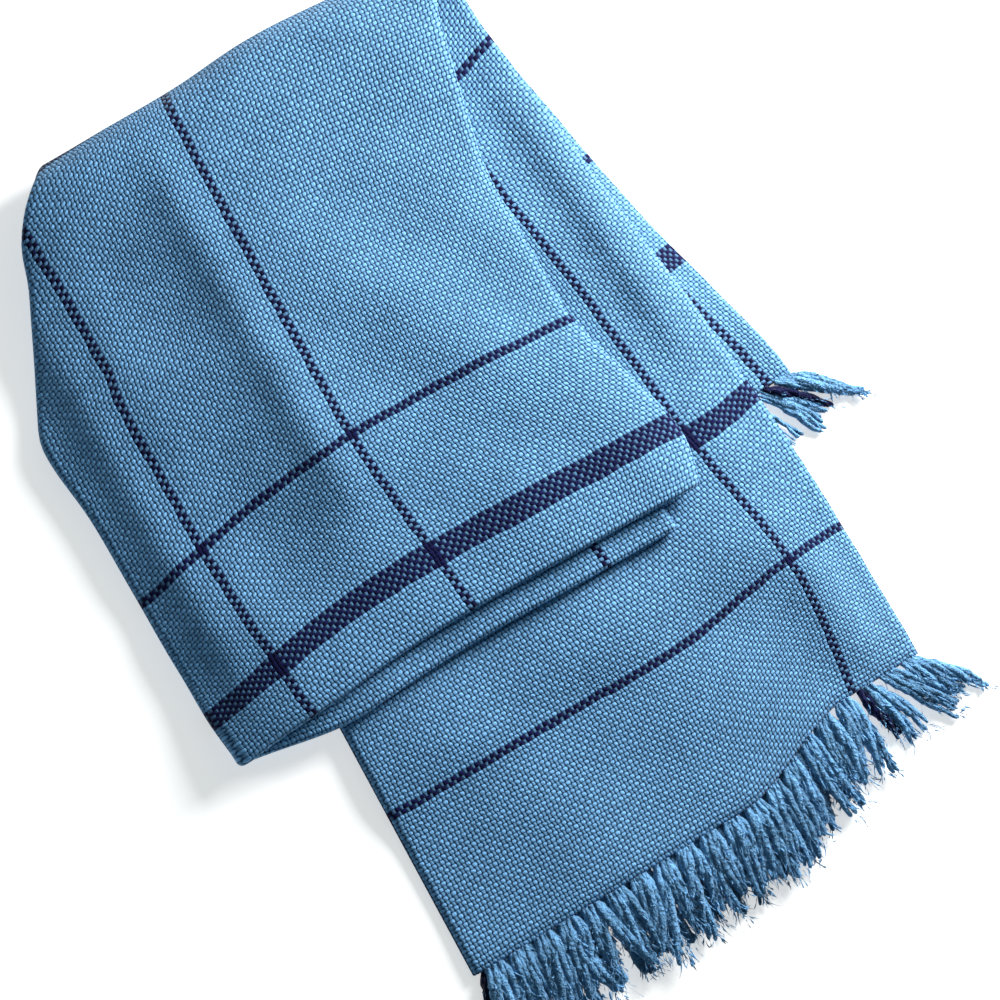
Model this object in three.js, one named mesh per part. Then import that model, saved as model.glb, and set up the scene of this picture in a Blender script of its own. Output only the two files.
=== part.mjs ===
// A folded wool blanket with a knotted fringe at both ends, in millimetres, +Z up.
// The cloth is one woven sheet. It is folded in half across its length, then its left part is
// turned under along its length, and then the four layers are turned back over themselves.
// +Y runs along the cloth towards that last fold, +X runs across it towards the right selvedge.
// The part is drawn about a spot on the left side fold and moved to its middle at the end.
import * as THREE from "three";

// The sheet as it was woven, measured from its right selvedge and from its near end
const CLOTH_WIDTH = 706;
const CLOTH_THICKNESS = 2.2;
const MID_FOLD_AT = 1068;
const TOP_FOLD_AT = 605;
const FAR_END_AT = 221;
const SIDE_FOLD_AT = 382;
const OUTER_STRIPE_AT = 57;
const MIDDLE_STRIPE_AT = 390;
const INNER_STRIPE_AT = 516;

// How the layers lie on each other
const LAYER_PITCH = 3.2;
const MID_FOLD_RADIUS = 3.5;
const TOP_FOLD_RADIUS = 14;
const TOP_LOOP_PRESSED = 0.45;
const TOP_LOOP_REACH = 110;
const MID_LOOP_REACH = 90;
const CREEP_REACH = 100;
const NEAR_END_Y = -194;

// How far the top layers take to come down past the edge of what they lie on
const SIDE_DROP_REACH = 80;
const MARGIN_DROP_REACH = 64;
const END_DROP_REACH = 50;
const FAR_END_PRESSED = 0.85;
const EDGE_CLEARANCE = 4;

// The knotted fringe
const BUNCH_PITCH = 19.1;
const FRINGE_LENGTH = 64;
const FRINGE_GAP = 0.9;
const STRIP_DEPTH = 4;
const LOCK_THICKNESS = 1.8;
const LOCK_ROOT_WIDTH = 6.5;
const LOCK_TIP_WIDTH = 2.4;

// Where the edges and stripes of the upper stack lie, by the distance along
const UPPER_PLAN = [
  { along: 440, left: 2, middleStripe: -29, innerStripe: 96, right: 309, farRight: 322 },
  { along: 400, left: -32, middleStripe: -28, innerStripe: 97, right: 302, farRight: 305 },
  { along: 370, left: -44, middleStripe: -27, innerStripe: 97, right: 294, farRight: 289 },
  { along: 300, left: -77, middleStripe: -26, innerStripe: 98, right: 279, farRight: 276 },
  { along: 272, left: -86, middleStripe: -25, innerStripe: 98, right: 277, farRight: 274 },
  { along: 215, left: -80, middleStripe: -24, innerStripe: 99, right: 278, farRight: 275 },
  { along: 160, left: -78, middleStripe: -23, innerStripe: 100, right: 280, farRight: 277 },
  { along: 100, left: -76, middleStripe: -20, innerStripe: 106, right: 298, farRight: 295 },
  { along: 50, left: -72, middleStripe: -17, innerStripe: 112, right: 309, farRight: 306 },
  { along: 10, left: -66, middleStripe: -16, innerStripe: 117, right: 299, farRight: 299 },
];

// Where the right selvedge and the outer stripe lie below, in the near half and in the far half
const LOWER_PLAN = [
  { along: 440, edge: 330, stripe: 268, farEdge: 330, farStripe: 270 },
  { along: 350, edge: 333, stripe: 272, farEdge: 334, farStripe: 281 },
  { along: 260, edge: 346, stripe: 281, farEdge: 352, farStripe: 318 },
  { along: 170, edge: 358, stripe: 297, farEdge: 373, farStripe: 350 },
  { along: 120, edge: 366, stripe: 303, farEdge: 388, farStripe: 366 },
  { along: 30, edge: 378, stripe: 315, farEdge: 411, farStripe: 391 },
  { along: -80, edge: 386, stripe: 336, farEdge: 411, farStripe: 391 },
  { along: -120, edge: 387, stripe: 336, farEdge: 411, farStripe: 391 },
  { along: -160, edge: 388, stripe: 333, farEdge: 411, farStripe: 391 },
  { along: -195, edge: 388, stripe: 329, farEdge: 411, farStripe: 391 },
];

// Soft ridges that old creases leave in the top of the cloth
const CREASES = [
  { name: "beside the middle stripe", from: [-42, 330], to: [-30, 40], width: 14, height: 1.6 },
  { name: "beside the inner stripe", from: [84, 330], to: [92, 150], width: 17, height: 1.5 },
  { name: "along the right selvedge", from: [334, 340], to: [366, 110], width: 13, height: 2.6 },
  { name: "lifted right corner", from: [364, -60], to: [364, -150], width: 18, height: 4 },
];

const HALF_THICKNESS = CLOTH_THICKNESS / 2;
const FRINGE_REACH = FRINGE_GAP + STRIP_DEPTH + FRINGE_LENGTH;
const SIDE_BULGE = 1.5 * LAYER_PITCH + HALF_THICKNESS;
const LOOP_HEIGHT = 2 * TOP_FOLD_RADIUS - LAYER_PITCH;
const LOWER_EDGE_X = SIDE_BULGE + CLOTH_WIDTH - SIDE_FOLD_AT - (Math.PI * LAYER_PITCH) / 2;

const clamp = (value) => Math.min(Math.max(value, 0), 1);
const mix = (a, b, share) => a + (b - a) * share;
const smooth = (value) => {
  const share = clamp(value);
  return share * share * (3 - 2 * share);
};

/** A column of a plan table at a distance along the cloth, on a smooth curve through its rows. */
function column(table, name, along) {
  const at = Math.min(Math.max(along, table.at(-1).along), table[0].along);
  let row = 0;
  while (row < table.length - 2 && at < table[row + 1].along) {
    row += 1;
  }
  const slope = (i) => {
    const above = table[Math.max(i - 1, 0)];
    const below = table[Math.min(i + 1, table.length - 1)];
    return (below[name] - above[name]) / (below.along - above.along);
  };
  const [start, end] = [table[row], table[row + 1]];
  const span = end.along - start.along;
  const t = (at - start.along) / span;
  const [startWeight, endWeight] = [1 - smooth(t), smooth(t)];
  const [startBend, endBend] = [t * (1 - t) ** 2, t ** 2 * (t - 1)];
  const straight = startWeight * start[name] + endWeight * end[name];
  return straight + span * (startBend * slope(row) + endBend * slope(row + 1));
}

/** The gap between the near half and the far half, which opens towards the mid fold. */
function halfGap(path) {
  const nearFold = smooth((path - MID_FOLD_AT + MID_LOOP_REACH) / MID_LOOP_REACH);
  return mix(LAYER_PITCH, 2 * MID_FOLD_RADIUS, nearFold);
}

/** The share of the way from the near half to the far half, eased past the mid fold. */
function halfShare(flatAlong) {
  return smooth((flatAlong - MID_FOLD_AT + CREEP_REACH) / (2 * CREEP_REACH));
}

/** The radius that the side fold's length is measured on. */
function sideRadius(flatAlong) {
  return (1.5 - halfShare(flatAlong)) * LAYER_PITCH;
}

/** The radius that the top fold's length is measured on, for a spot this far past the side fold. */
function topRadius(flatAlong, pastSideFold) {
  const rightDepth = halfShare(flatAlong) * LAYER_PITCH;
  const leftDepth = 3 * LAYER_PITCH - rightDepth;
  const leftShare = smooth((pastSideFold + CREEP_REACH) / (2 * CREEP_REACH));
  return TOP_FOLD_RADIUS + mix(rightDepth, leftDepth, leftShare);
}

/** The along value in the upper stack of the side fold's spot at this length of cloth. */
function upperAlong(path) {
  const radius = TOP_FOLD_RADIUS + 1.5 * LAYER_PITCH;
  return 2 * TOP_FOLD_AT + Math.PI * radius + NEAR_END_Y - path;
}

/** Where the side fold lies in the flat cloth: it drifts so that the middle stripe stays straight. */
function sideFoldAt(path) {
  const along = upperAlong(path);
  const drift = column(UPPER_PLAN, "left", along) - column(UPPER_PLAN, "middleStripe", along);
  const half = 1.5 * LAYER_PITCH;
  const above = MIDDLE_STRIPE_AT - Math.PI * half + SIDE_BULGE + drift;
  return mix(SIDE_FOLD_AT, above, smooth((path - TOP_FOLD_AT) / (Math.PI * TOP_FOLD_RADIUS)));
}

/** The flat width hidden at the right of the far half, whose margin shows only in part. */
function farTrim(along) {
  const shown = column(LOWER_PLAN, "farEdge", along) - column(LOWER_PLAN, "farStripe", along);
  return Math.max(OUTER_STRIPE_AT - shown, 0);
}

/** The X of a spot on the right part of the cloth. */
function rightPartX(flatAcross, foldAt, foldX, along, over, half) {
  const bend = (edge, stripe) => {
    if (flatAcross < OUTER_STRIPE_AT) {
      return mix(edge, stripe, flatAcross / OUTER_STRIPE_AT);
    }
    return mix(stripe, foldX, (flatAcross - OUTER_STRIPE_AT) / (foldAt - OUTER_STRIPE_AT));
  };
  const near = bend(column(LOWER_PLAN, "edge", along), column(LOWER_PLAN, "stripe", along));
  const farStripe = column(LOWER_PLAN, "farStripe", along);
  const far = bend(farStripe + OUTER_STRIPE_AT, farStripe);
  const above = foldX + (foldAt - flatAcross) * hiddenSpread(along);
  return mix(mix(near, far, half), above, over);
}

/** How much the right part is drawn together under the upper stack, close to the top fold. */
function hiddenSpread(along) {
  return mix(1, 0.84, smooth((along - 310) / 90));
}

/** The X of a spot on the left part of the cloth. */
function leftPartX(flatAcross, pastTurn, foldX, along, over, half) {
  const below = foldX + pastTurn;
  const stripe = column(UPPER_PLAN, "innerStripe", along);
  const edge = mix(column(UPPER_PLAN, "right", along), column(UPPER_PLAN, "farRight", along), half);
  const start = flatAcross - pastTurn;
  let above = mix(foldX, stripe, (flatAcross - start) / (INNER_STRIPE_AT - start));
  if (flatAcross > INNER_STRIPE_AT) {
    above = mix(stripe, edge, (flatAcross - INNER_STRIPE_AT) / (CLOTH_WIDTH - INNER_STRIPE_AT));
  }
  return mix(below, above, over);
}

/** How far a line across the cloth slants up at this X. */
function slant(x, path, over) {
  const rows = 0.065 * x + 6 * smooth((x - 330) / 60);
  const end = 30 * smooth((x - 215) / 110);
  const firstStripe = 2 + 18 * smooth((x - 215) / 150);
  const nearPart = mix(end, firstStripe, smooth(path / 118));
  const below = mix(nearPart, rows, smooth((path - 118) / 108));
  const corner = 8 * smooth((path - MID_FOLD_AT + 60) / 60) * smooth((30 - x) / 90);
  const atMidFold = smooth((path - MID_FOLD_AT + 118) / 100) * mix(10, 3, smooth((x - 20) / 160));
  const above = -18 + 22 * smooth((x + 90) / 260) + corner + atMidFold;
  const beforeTop = smooth((path - TOP_FOLD_AT + 100) / 100);
  const pastTop = smooth((TOP_FOLD_AT + 200 - path) / 130);
  const atTopFold = 10 * beforeTop * pastTop * smooth((x - 60) / 150);
  const nearTopFold = smooth((path - 430) / 110) * smooth((TOP_FOLD_AT + 150 - path) / 100);
  const drawnUp = 14 * nearTopFold * smooth((x - 285) / 55);
  return mix(below, above, over) + atTopFold + drawnUp;
}

/** The height that a crease adds at a spot in the plan. */
function creaseHeight(x, y) {
  let height = 0;
  for (const crease of CREASES) {
    const from = new THREE.Vector2(...crease.from);
    const run = new THREE.Vector2(...crease.to).sub(from);
    const spot = new THREE.Vector2(x, y).sub(from);
    const share = spot.dot(run) / run.lengthSq();
    const away = spot.cross(run) / run.length();
    const ends = smooth((share + 0.15) / 0.3) * smooth((1.15 - share) / 0.3);
    height += crease.height * ends * Math.exp(-((away / crease.width) ** 2));
  }
  return height;
}

/** Lets the layers down where those under them end, so that each lies on what is there. */
function settle(x, y, level, path, gap) {
  const pastLeft = smooth((-EDGE_CLEARANCE - x) / SIDE_DROP_REACH);
  const farLine = FAR_END_AT + NEAR_END_Y + slant(x, FAR_END_AT, 0);
  const pastFringe = smooth((farLine - FRINGE_REACH - EDGE_CLEARANCE - y) / END_DROP_REACH);
  const pastFarEnd = pastFringe * FAR_END_PRESSED;
  const pastLowerEdge = smooth((x - LOWER_EDGE_X - EDGE_CLEARANCE) / MARGIN_DROP_REACH);
  const along = Math.min(y, 440);
  const upperFold = column(UPPER_PLAN, "left", along) + SIDE_BULGE;
  const upperEdge = upperFold + sideFoldAt(pathOf(along)) * hiddenSpread(along);
  const pastUpperEdge = smooth((x - upperEdge - EDGE_CLEARANCE) / MARGIN_DROP_REACH);
  const awayFromLoop = smooth((TOP_FOLD_AT + NEAR_END_Y - y) / TOP_LOOP_REACH);
  const either = (a, b) => 1 - (1 - a) * (1 - b);
  const slots = [
    { depth: LAYER_PITCH, empty: either(pastLeft, pastLowerEdge) },
    { depth: LAYER_PITCH, empty: either(pastLeft, either(pastLowerEdge, pastFarEnd)) },
    { depth: LAYER_PITCH, empty: either(pastLeft, pastFarEnd) },
    { depth: LAYER_PITCH, empty: pastLeft },
    { depth: LOOP_HEIGHT, empty: mix(TOP_LOOP_PRESSED, 1, awayFromLoop) },
    { depth: gap + LAYER_PITCH, empty: pastUpperEdge },
  ];
  let bottom = -LAYER_PITCH / 2;
  let height = level;
  for (const slot of slots) {
    height -= slot.empty * slot.depth * clamp((level - bottom) / slot.depth);
    bottom += slot.depth;
  }
  const lift = creaseHeight(x, y) * smooth(level / (3 * LAYER_PITCH));
  return height + lift + HALF_THICKNESS;
}

/** How far past the top fold a row lies. The rows of all the layers are level until the last ones. */
function pastTopFold(share, arc) {
  const length = MID_FOLD_AT - TOP_FOLD_AT - arc;
  const shortest = MID_FOLD_AT - TOP_FOLD_AT - Math.PI * (TOP_FOLD_RADIUS + 3 * LAYER_PITCH);
  return share * shortest + (length - shortest) * smooth(2 * share - 1);
}

/** The length of cloth at which the side fold reaches this along value in the upper stack. */
function pathOf(along) {
  return upperAlong(0) - along;
}

/**
 * A spot of the folded cloth. The station says where along the folded strip it lies, the lane
 * says where across, and offset is its height over the middle of the cloth's thickness.
 */
function foldedSpot(station, lane, offset) {
  const far = station.half === "far";
  const turnOfHalf = station.run === "mid" ? station.share * Math.PI : far ? Math.PI : 0;
  const flatGuess = far ? 2 * MID_FOLD_AT - station.path : station.path;
  const pastFold = lane.part === "right" ? -SIDE_FOLD_AT * (1 - lane.share) : lane.past;
  const radiusOfTop = topRadius(flatGuess, pastFold);
  const arc = Math.PI * radiusOfTop;
  const path = {
    under: station.path,
    turn: TOP_FOLD_AT + station.share * arc,
    over: TOP_FOLD_AT + arc + pastTopFold(station.share, arc),
    mid: MID_FOLD_AT,
  }[station.run];

  // Fold across the middle of the length: the far half goes under the near half
  const gap = halfGap(path);
  let height = offset;
  let pathOut = path;
  if (station.run === "mid") {
    height = (gap / 2 + offset) * Math.cos(turnOfHalf) - gap / 2;
    pathOut = path + (gap / 2 + offset) * Math.sin(turnOfHalf);
  } else if (far) {
    height = -gap - offset;
  }

  // Side fold: the left part goes under the right part
  const foldAt = sideFoldAt(path);
  const sideCentre = gap + LAYER_PITCH / 2;
  const flatAlong = far ? 2 * MID_FOLD_AT - path : path;
  const sideArc = Math.PI * sideRadius(flatAlong);
  const turnOfSide = lane.part === "turn" ? lane.share * Math.PI : lane.part === "left" ? Math.PI : 0;
  const sideReach = sideCentre + height;
  const bulge = sideReach * Math.sin(turnOfSide);
  const stacked = sideReach * Math.cos(turnOfSide) - sideCentre;

  // Top fold: all four layers turn up and back over themselves
  const turn = clamp((pathOut - TOP_FOLD_AT) / arc) * Math.PI;
  const reach = TOP_FOLD_RADIUS - stacked;
  const straight = Math.min(pathOut, TOP_FOLD_AT) - Math.max(pathOut - TOP_FOLD_AT - arc, 0);
  const y = straight + reach * Math.sin(turn) + NEAR_END_Y;
  const level = 3 * LAYER_PITCH + TOP_FOLD_RADIUS - reach * Math.cos(turn);
  const over = smooth(turn / Math.PI);

  // The plan: each edge and stripe goes where the table has it
  const half = halfShare(flatAlong);
  const along = Math.min(Math.max(y, LOWER_PLAN.at(-1).along), UPPER_PLAN[0].along);
  const foldX = SIDE_BULGE + mix(0, column(UPPER_PLAN, "left", along), over);
  let x = foldX - bulge;
  if (lane.part === "right") {
    const trimmed = half * (1 - over) * farTrim(along);
    x = rightPartX(mix(trimmed, foldAt, lane.share), foldAt, foldX, along, over, half);
  } else if (lane.part === "left") {
    const pastTurn = lane.past * (CLOTH_WIDTH - foldAt - sideArc) / (CLOTH_WIDTH - SIDE_FOLD_AT);
    x = leftPartX(foldAt + sideArc + pastTurn, pastTurn, foldX, along, over, half);
  }
  const yOut = y + slant(x, path, over);
  return new THREE.Vector3(x, yOut, settle(x, yOut, level, path, gap));
}

/** Where the folded strip is cut into rows, from the near end to the far end. */
function stations() {
  const under = [0, 34, 68, 102, 136, 170, 204, 250, 310, 380, 450, 520, 575, TOP_FOLD_AT];
  const over = [0, 0.08, 0.16, 0.24, 0.31, 0.38, 0.48, 0.6, 0.72, 0.84, 0.93, 1];
  const turnSteps = 6;
  const midSteps = 5;
  const turn = Array.from({ length: turnSteps - 1 }, (_, i) => (i + 1) / turnSteps);
  const mid = Array.from({ length: midSteps - 1 }, (_, i) => (i + 1) / midSteps);
  const reach = Math.PI * TOP_FOLD_RADIUS;
  const near = [
    ...under.map((path) => ({ run: "under", half: "near", path })),
    ...turn.map((share) => ({ run: "turn", half: "near", share, path: TOP_FOLD_AT + share * reach })),
    ...over.map((share) => ({
      run: "over", half: "near", share, path: mix(TOP_FOLD_AT + reach, MID_FOLD_AT, share),
    })),
  ];
  const far = near.filter((station) => station.run !== "under" || station.path > FAR_END_AT);
  const end = { run: "under", half: "far", path: FAR_END_AT };
  return [
    ...near,
    ...mid.map((share) => ({ run: "mid", half: share < 0.5 ? "near" : "far", share, path: MID_FOLD_AT })),
    ...far.map((station) => ({ ...station, half: "far" })).reverse(),
    end,
  ];
}

/** Where the cloth is cut into lanes, from the right selvedge round the side fold to the left one. */
function lanes() {
  const fromFold = [0, 14, 28, 42, 58, 76, 110, 155, 200, 238];
  const outerStripe = SIDE_FOLD_AT - OUTER_STRIPE_AT;
  const turnSteps = 5;
  const right = [...fromFold, 272, 300, 313, outerStripe, 337, 350, 365, SIDE_FOLD_AT].reverse();
  const left = [...fromFold, 260, 276, 292, 308, CLOTH_WIDTH - SIDE_FOLD_AT];
  const turn = Array.from({ length: turnSteps - 1 }, (_, i) => (i + 1) / turnSteps);
  return [
    ...right.map((away) => ({ part: "right", share: 1 - away / SIDE_FOLD_AT })),
    ...turn.map((share) => ({ part: "turn", share, past: 0 })),
    ...left.map((past) => ({ part: "left", past })),
  ];
}

/** A closed solid from a sheet of quads whose points have an upper and a lower place. */
function thicken(points, quads) {
  const positions = [];
  for (const side of ["upper", "lower"]) {
    points.forEach((point) => positions.push(...point[side].toArray()));
  }
  const count = points.length;
  const faces = [];
  const edges = new Map();
  const addQuad = (a, b, c, d) => faces.push(a, b, c, a, c, d);
  for (const quad of quads) {
    addQuad(...quad);
    addQuad(...quad.map((i) => i + count).reverse());
    quad.forEach((start, i) => edges.set(`${start},${quad[(i + 1) % 4]}`, [start, quad[(i + 1) % 4]]));
  }
  for (const [start, end] of edges.values()) {
    if (!edges.has(`${end},${start}`)) {
      addQuad(end, start, start + count, end + count);
    }
  }
  const geometry = new THREE.BufferGeometry();
  geometry.setAttribute("position", new THREE.Float32BufferAttribute(positions, 3));
  geometry.setIndex(faces);
  geometry.computeVertexNormals();
  return geometry;
}

/** The folded cloth. */
function blanketGeometry() {
  const rows = stations();
  const columns = lanes();
  const points = [];
  const quads = [];
  rows.forEach((station, j) => {
    columns.forEach((lane, i) => {
      points.push({
        upper: foldedSpot(station, lane, HALF_THICKNESS),
        lower: foldedSpot(station, lane, -HALF_THICKNESS),
      });
      if (i > 0 && j > 0) {
        const here = j * columns.length + i;
        quads.push([here, here - 1, here - 1 - columns.length, here - columns.length].reverse());
      }
    });
  });
  return thicken(points, quads);
}

/** A number from 0 to 1 that looks random but is the same each time. */
function scatter(index, seed) {
  const value = Math.sin(index * 127.1 + seed * 311.7) * 43758.5453;
  return value - Math.floor(value);
}

/** How far a lane of the right or left part is from the right selvedge or from the side fold. */
const laneAt = (lane) => (lane.part === "right" ? lane.share * SIDE_FOLD_AT : lane.past);

/** One end's fringe along part of its edge: a narrow strip with locks fused to it. */
function fringeGeometry({ station, part, locksPerBunch, seed, lean }) {
  const first = 4;
  const last = part === "right" ? SIDE_FOLD_AT - 8 : CLOTH_WIDTH - SIDE_FOLD_AT - 16;
  const count = Math.round(((last - first) / BUNCH_PITCH) * locksPerBunch);
  const pitch = (last - first) / count;
  const edge = lanes()
    .filter((lane) => lane.part === part)
    .map((lane) => ({ at: laneAt(lane), spot: foldedSpot(station, lane, 0) }));
  const spotAt = (at) => {
    const next = Math.max(edge.findIndex((end) => end.at > at), 1);
    const [start, end] = [edge[next - 1], edge[next]];
    return start.spot.clone().lerp(end.spot, (at - start.at) / (end.at - start.at));
  };
  const points = [];
  const quads = [];
  const addPoint = (x, y, z) => {
    const half = LOCK_THICKNESS / 2;
    points.push({ upper: new THREE.Vector3(x, y, z + half), lower: new THREE.Vector3(x, y, z - half) });
    return points.length - 1;
  };
  const restingDrop = station.half === "near" ? (CLOTH_THICKNESS - LOCK_THICKNESS) / 2 : 0;
  const strip = [];
  for (let i = 0; i < count; i += 1) {
    const middle = first + (i + 0.5) * pitch;
    for (const side of [-1, 1]) {
      const root = spotAt(middle + (side * LOCK_ROOT_WIDTH) / 2);
      const z = root.z - restingDrop;
      strip.push({
        inner: addPoint(root.x, root.y - FRINGE_GAP, z),
        outer: addPoint(root.x, root.y - FRINGE_GAP - STRIP_DEPTH, z),
        root: new THREE.Vector3(root.x, root.y - STRIP_DEPTH, z),
      });
    }
  }
  for (let i = 1; i < strip.length; i += 1) {
    quads.push([strip[i - 1].inner, strip[i].inner, strip[i].outer, strip[i - 1].outer]);
  }
  for (let i = 0; i < count; i += 1) {
    const [a, b] = [strip[2 * i], strip[2 * i + 1]];
    const reach = FRINGE_LENGTH * mix(0.82, 1, scatter(i, seed));
    const sway = lean(a.root.x) + mix(-5, 5, scatter(i, seed + 1));
    const middle = a.root.clone().add(b.root).multiplyScalar(0.5);
    const outward = Math.sign(b.root.x - a.root.x);
    const tipHeight = middle.x > LOWER_EDGE_X ? LOCK_THICKNESS / 2 : middle.z;
    let [left, right] = [a.outer, b.outer];
    for (const share of [0.5, 1]) {
      const width = mix(LOCK_ROOT_WIDTH, LOCK_TIP_WIDTH, share) / 2;
      const x = middle.x + sway * share * mix(0.7, 1, share);
      const y = middle.y - Math.sqrt(Math.max(reach ** 2 - sway ** 2, 100)) * share;
      const z = mix(middle.z, tipHeight, share);
      const next = [addPoint(x - outward * width, y, z), addPoint(x + outward * width, y, z)];
      quads.push([left, right, next[1], next[0]]);
      [left, right] = next;
    }
  }
  const turned = strip[1].root.x > strip[0].root.x ? quads.map((quad) => quad.reverse()) : quads;
  return thicken(points, turned);
}

/** Strands lean out at the right corner and hang straight elsewhere. */
const cornerLean = (x) => 34 * smooth((x - 300) / 90) + 4;
const straightLean = () => 0;
const farCornerLean = (x) => 50 * smooth((x - 330) / 80) + 6;

const NEAR_END = { run: "under", half: "near", path: 0 };
const FAR_END = { run: "under", half: "far", path: FAR_END_AT };
const FRINGES = [
  { name: "fringe_near_upper", station: NEAR_END, part: "right", locksPerBunch: 2, seed: 1, lean: cornerLean },
  { name: "fringe_near_lower", station: NEAR_END, part: "left", locksPerBunch: 2, seed: 2, lean: straightLean },
  { name: "fringe_far_upper", station: FAR_END, part: "right", locksPerBunch: 1, seed: 3, lean: farCornerLean },
  { name: "fringe_far_lower", station: FAR_END, part: "left", locksPerBunch: 1, seed: 4, lean: straightLean },
];

const blanketWool = new THREE.MeshStandardMaterial({ color: 0x5f93c4, roughness: 0.95, metalness: 0 });
const fringeWool = new THREE.MeshStandardMaterial({ color: 0x6fa0cd, roughness: 0.97, metalness: 0 });

function namedMesh(name, geometry, material) {
  const mesh = new THREE.Mesh(geometry, material);
  mesh.name = name;
  return mesh;
}

const blanket = new THREE.Group();
blanket.add(namedMesh("blanket", blanketGeometry(), blanketWool));
for (const fringe of FRINGES) {
  blanket.add(namedMesh(fringe.name, fringeGeometry(fringe), fringeWool));
}

// The origin is the middle of the footprint, on the surface that the blanket lies on
const bounds = new THREE.Box3().setFromObject(blanket);
const middle = bounds.getCenter(new THREE.Vector3());
for (const mesh of blanket.children) {
  mesh.position.set(-middle.x, -middle.y, -bounds.min.z);
}

export default blanket;
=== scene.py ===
"""A folded wool blanket with window-pane stripes and a bunched fringe at both ends.

The cloth takes its folds, edges and stripes from one plan of the folded blanket. The plan is worked
out in millimetres about a spot on the left side fold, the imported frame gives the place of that
spot, and every mesh is made in metres in the frame.
"""

import logging
import math
from dataclasses import dataclass
from enum import Enum
from typing import Dict, List, Optional, Sequence, Tuple, Union

import bpy
import numpy as np
from mathutils import Matrix, Vector


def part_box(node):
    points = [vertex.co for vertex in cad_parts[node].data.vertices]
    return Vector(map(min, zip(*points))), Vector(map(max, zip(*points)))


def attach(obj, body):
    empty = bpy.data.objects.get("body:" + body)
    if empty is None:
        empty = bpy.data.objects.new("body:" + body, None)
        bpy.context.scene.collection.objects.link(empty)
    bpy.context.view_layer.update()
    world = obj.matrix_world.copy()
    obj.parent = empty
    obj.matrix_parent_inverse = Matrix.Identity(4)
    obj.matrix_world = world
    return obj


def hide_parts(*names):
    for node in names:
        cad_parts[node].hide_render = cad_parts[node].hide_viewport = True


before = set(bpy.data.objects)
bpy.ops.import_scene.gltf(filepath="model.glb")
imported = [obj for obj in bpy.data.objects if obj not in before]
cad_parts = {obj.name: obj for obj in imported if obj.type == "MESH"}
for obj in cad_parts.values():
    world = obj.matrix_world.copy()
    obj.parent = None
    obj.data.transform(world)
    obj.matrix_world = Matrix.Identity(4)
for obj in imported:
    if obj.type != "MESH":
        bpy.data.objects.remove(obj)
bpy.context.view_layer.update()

MM = 0.001
Array = np.ndarray
Values = Union[Array, float]
Colour = Tuple[float, float, float]
log = logging.getLogger("folded_blanket")


class Run(Enum):
    """Where along the folded strip a row of the cloth lies."""

    UNDER = "before the top fold"
    TURN = "round the top fold"
    OVER = "past the top fold"
    MID = "round the mid fold"


class Part(Enum):
    """Which side of the side fold a lane of the cloth lies on."""

    RIGHT = "right part"
    TURN = "side fold"
    LEFT = "left part"


@dataclass(frozen=True)
class Row:
    """A line across the cloth, by its run, its half and how far along it lies."""

    run: Run
    far: bool
    path: float
    share: float = 0.0


@dataclass(frozen=True)
class Lane:
    """A line along the cloth: a share of the right part or of the side fold, or mm past the fold."""

    part: Part
    share: float = 0.0
    past: float = 0.0


@dataclass(frozen=True)
class Crease:
    """A soft ridge that an old crease leaves: its line in plan from far to near, and its shape."""

    start: Tuple[float, float]
    end: Tuple[float, float]
    left_width: float
    right_width: float
    height: float


def mix(a: Values, b: Values, share: Values) -> Values:
    """The value at a share of the way from a to b."""
    return a + (b - a) * share


def smooth(value: Values) -> Values:
    """An eased step from 0 to 1."""
    share = np.clip(value, 0.0, 1.0)
    return share * share * (3 - 2 * share)


@dataclass(frozen=True)
class Rise:
    """An eased rise from 0 to a height, from a start and over a reach."""

    height: float
    start: float
    reach: float

    def at(self, place: Values) -> Values:
        """How high it has risen at a place."""
        return self.height * smooth((place - self.start) / self.reach)


@dataclass(frozen=True)
class Slant:
    """How far up the lines across the cloth slant over X, and where along the cloth each slant counts.

    The paths and ends of the corner and mid slants are measured from the mid fold, those of the top and
    drawn ones from the top fold: a path past it, and an end back from it.
    """

    row_slope: float = 0.065
    row_rise: Rise = Rise(6, 330, 60)
    end_rise: Rise = Rise(30, 215, 110)
    stripe_lift: float = 2
    stripe_rise: Rise = Rise(18, 215, 150)
    above_lift: float = -18
    above_rise: Rise = Rise(22, -90, 260)
    corner_rise: Rise = Rise(8, -30, 90)
    corner_path: Rise = Rise(1, -60, 60)
    mid_lift: float = 10
    mid_drop: Rise = Rise(7, 20, 160)
    mid_path: Rise = Rise(1, -118, 100)
    top_rise: Rise = Rise(10, 60, 150)
    top_path: Rise = Rise(1, -100, 100)
    top_end: Rise = Rise(1, -200, 130)
    drawn_rise: Rise = Rise(14, 285, 55)
    drawn_path: Rise = Rise(1, -175, 110)
    drawn_end: Rise = Rise(1, -150, 100)


# Where the edges and stripes of the upper stack lie, by the distance along:
# along, left fold, middle stripe, inner stripe, right edge, right edge of the far half
UPPER_PLAN = {
    "along": [440, 400, 370, 300, 272, 215, 160, 100, 50, 10],
    "left": [2, -32, -44, -77, -86, -80, -78, -76, -72, -66],
    "middle_stripe": [-29, -28, -27, -26, -25, -24, -23, -20, -17, -16],
    "inner_stripe": [96, 97, 97, 98, 98, 99, 100, 106, 112, 117],
    "right": [309, 302, 294, 279, 277, 278, 280, 298, 309, 299],
    "far_right": [322, 305, 289, 276, 274, 275, 277, 295, 306, 299],
}

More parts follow.
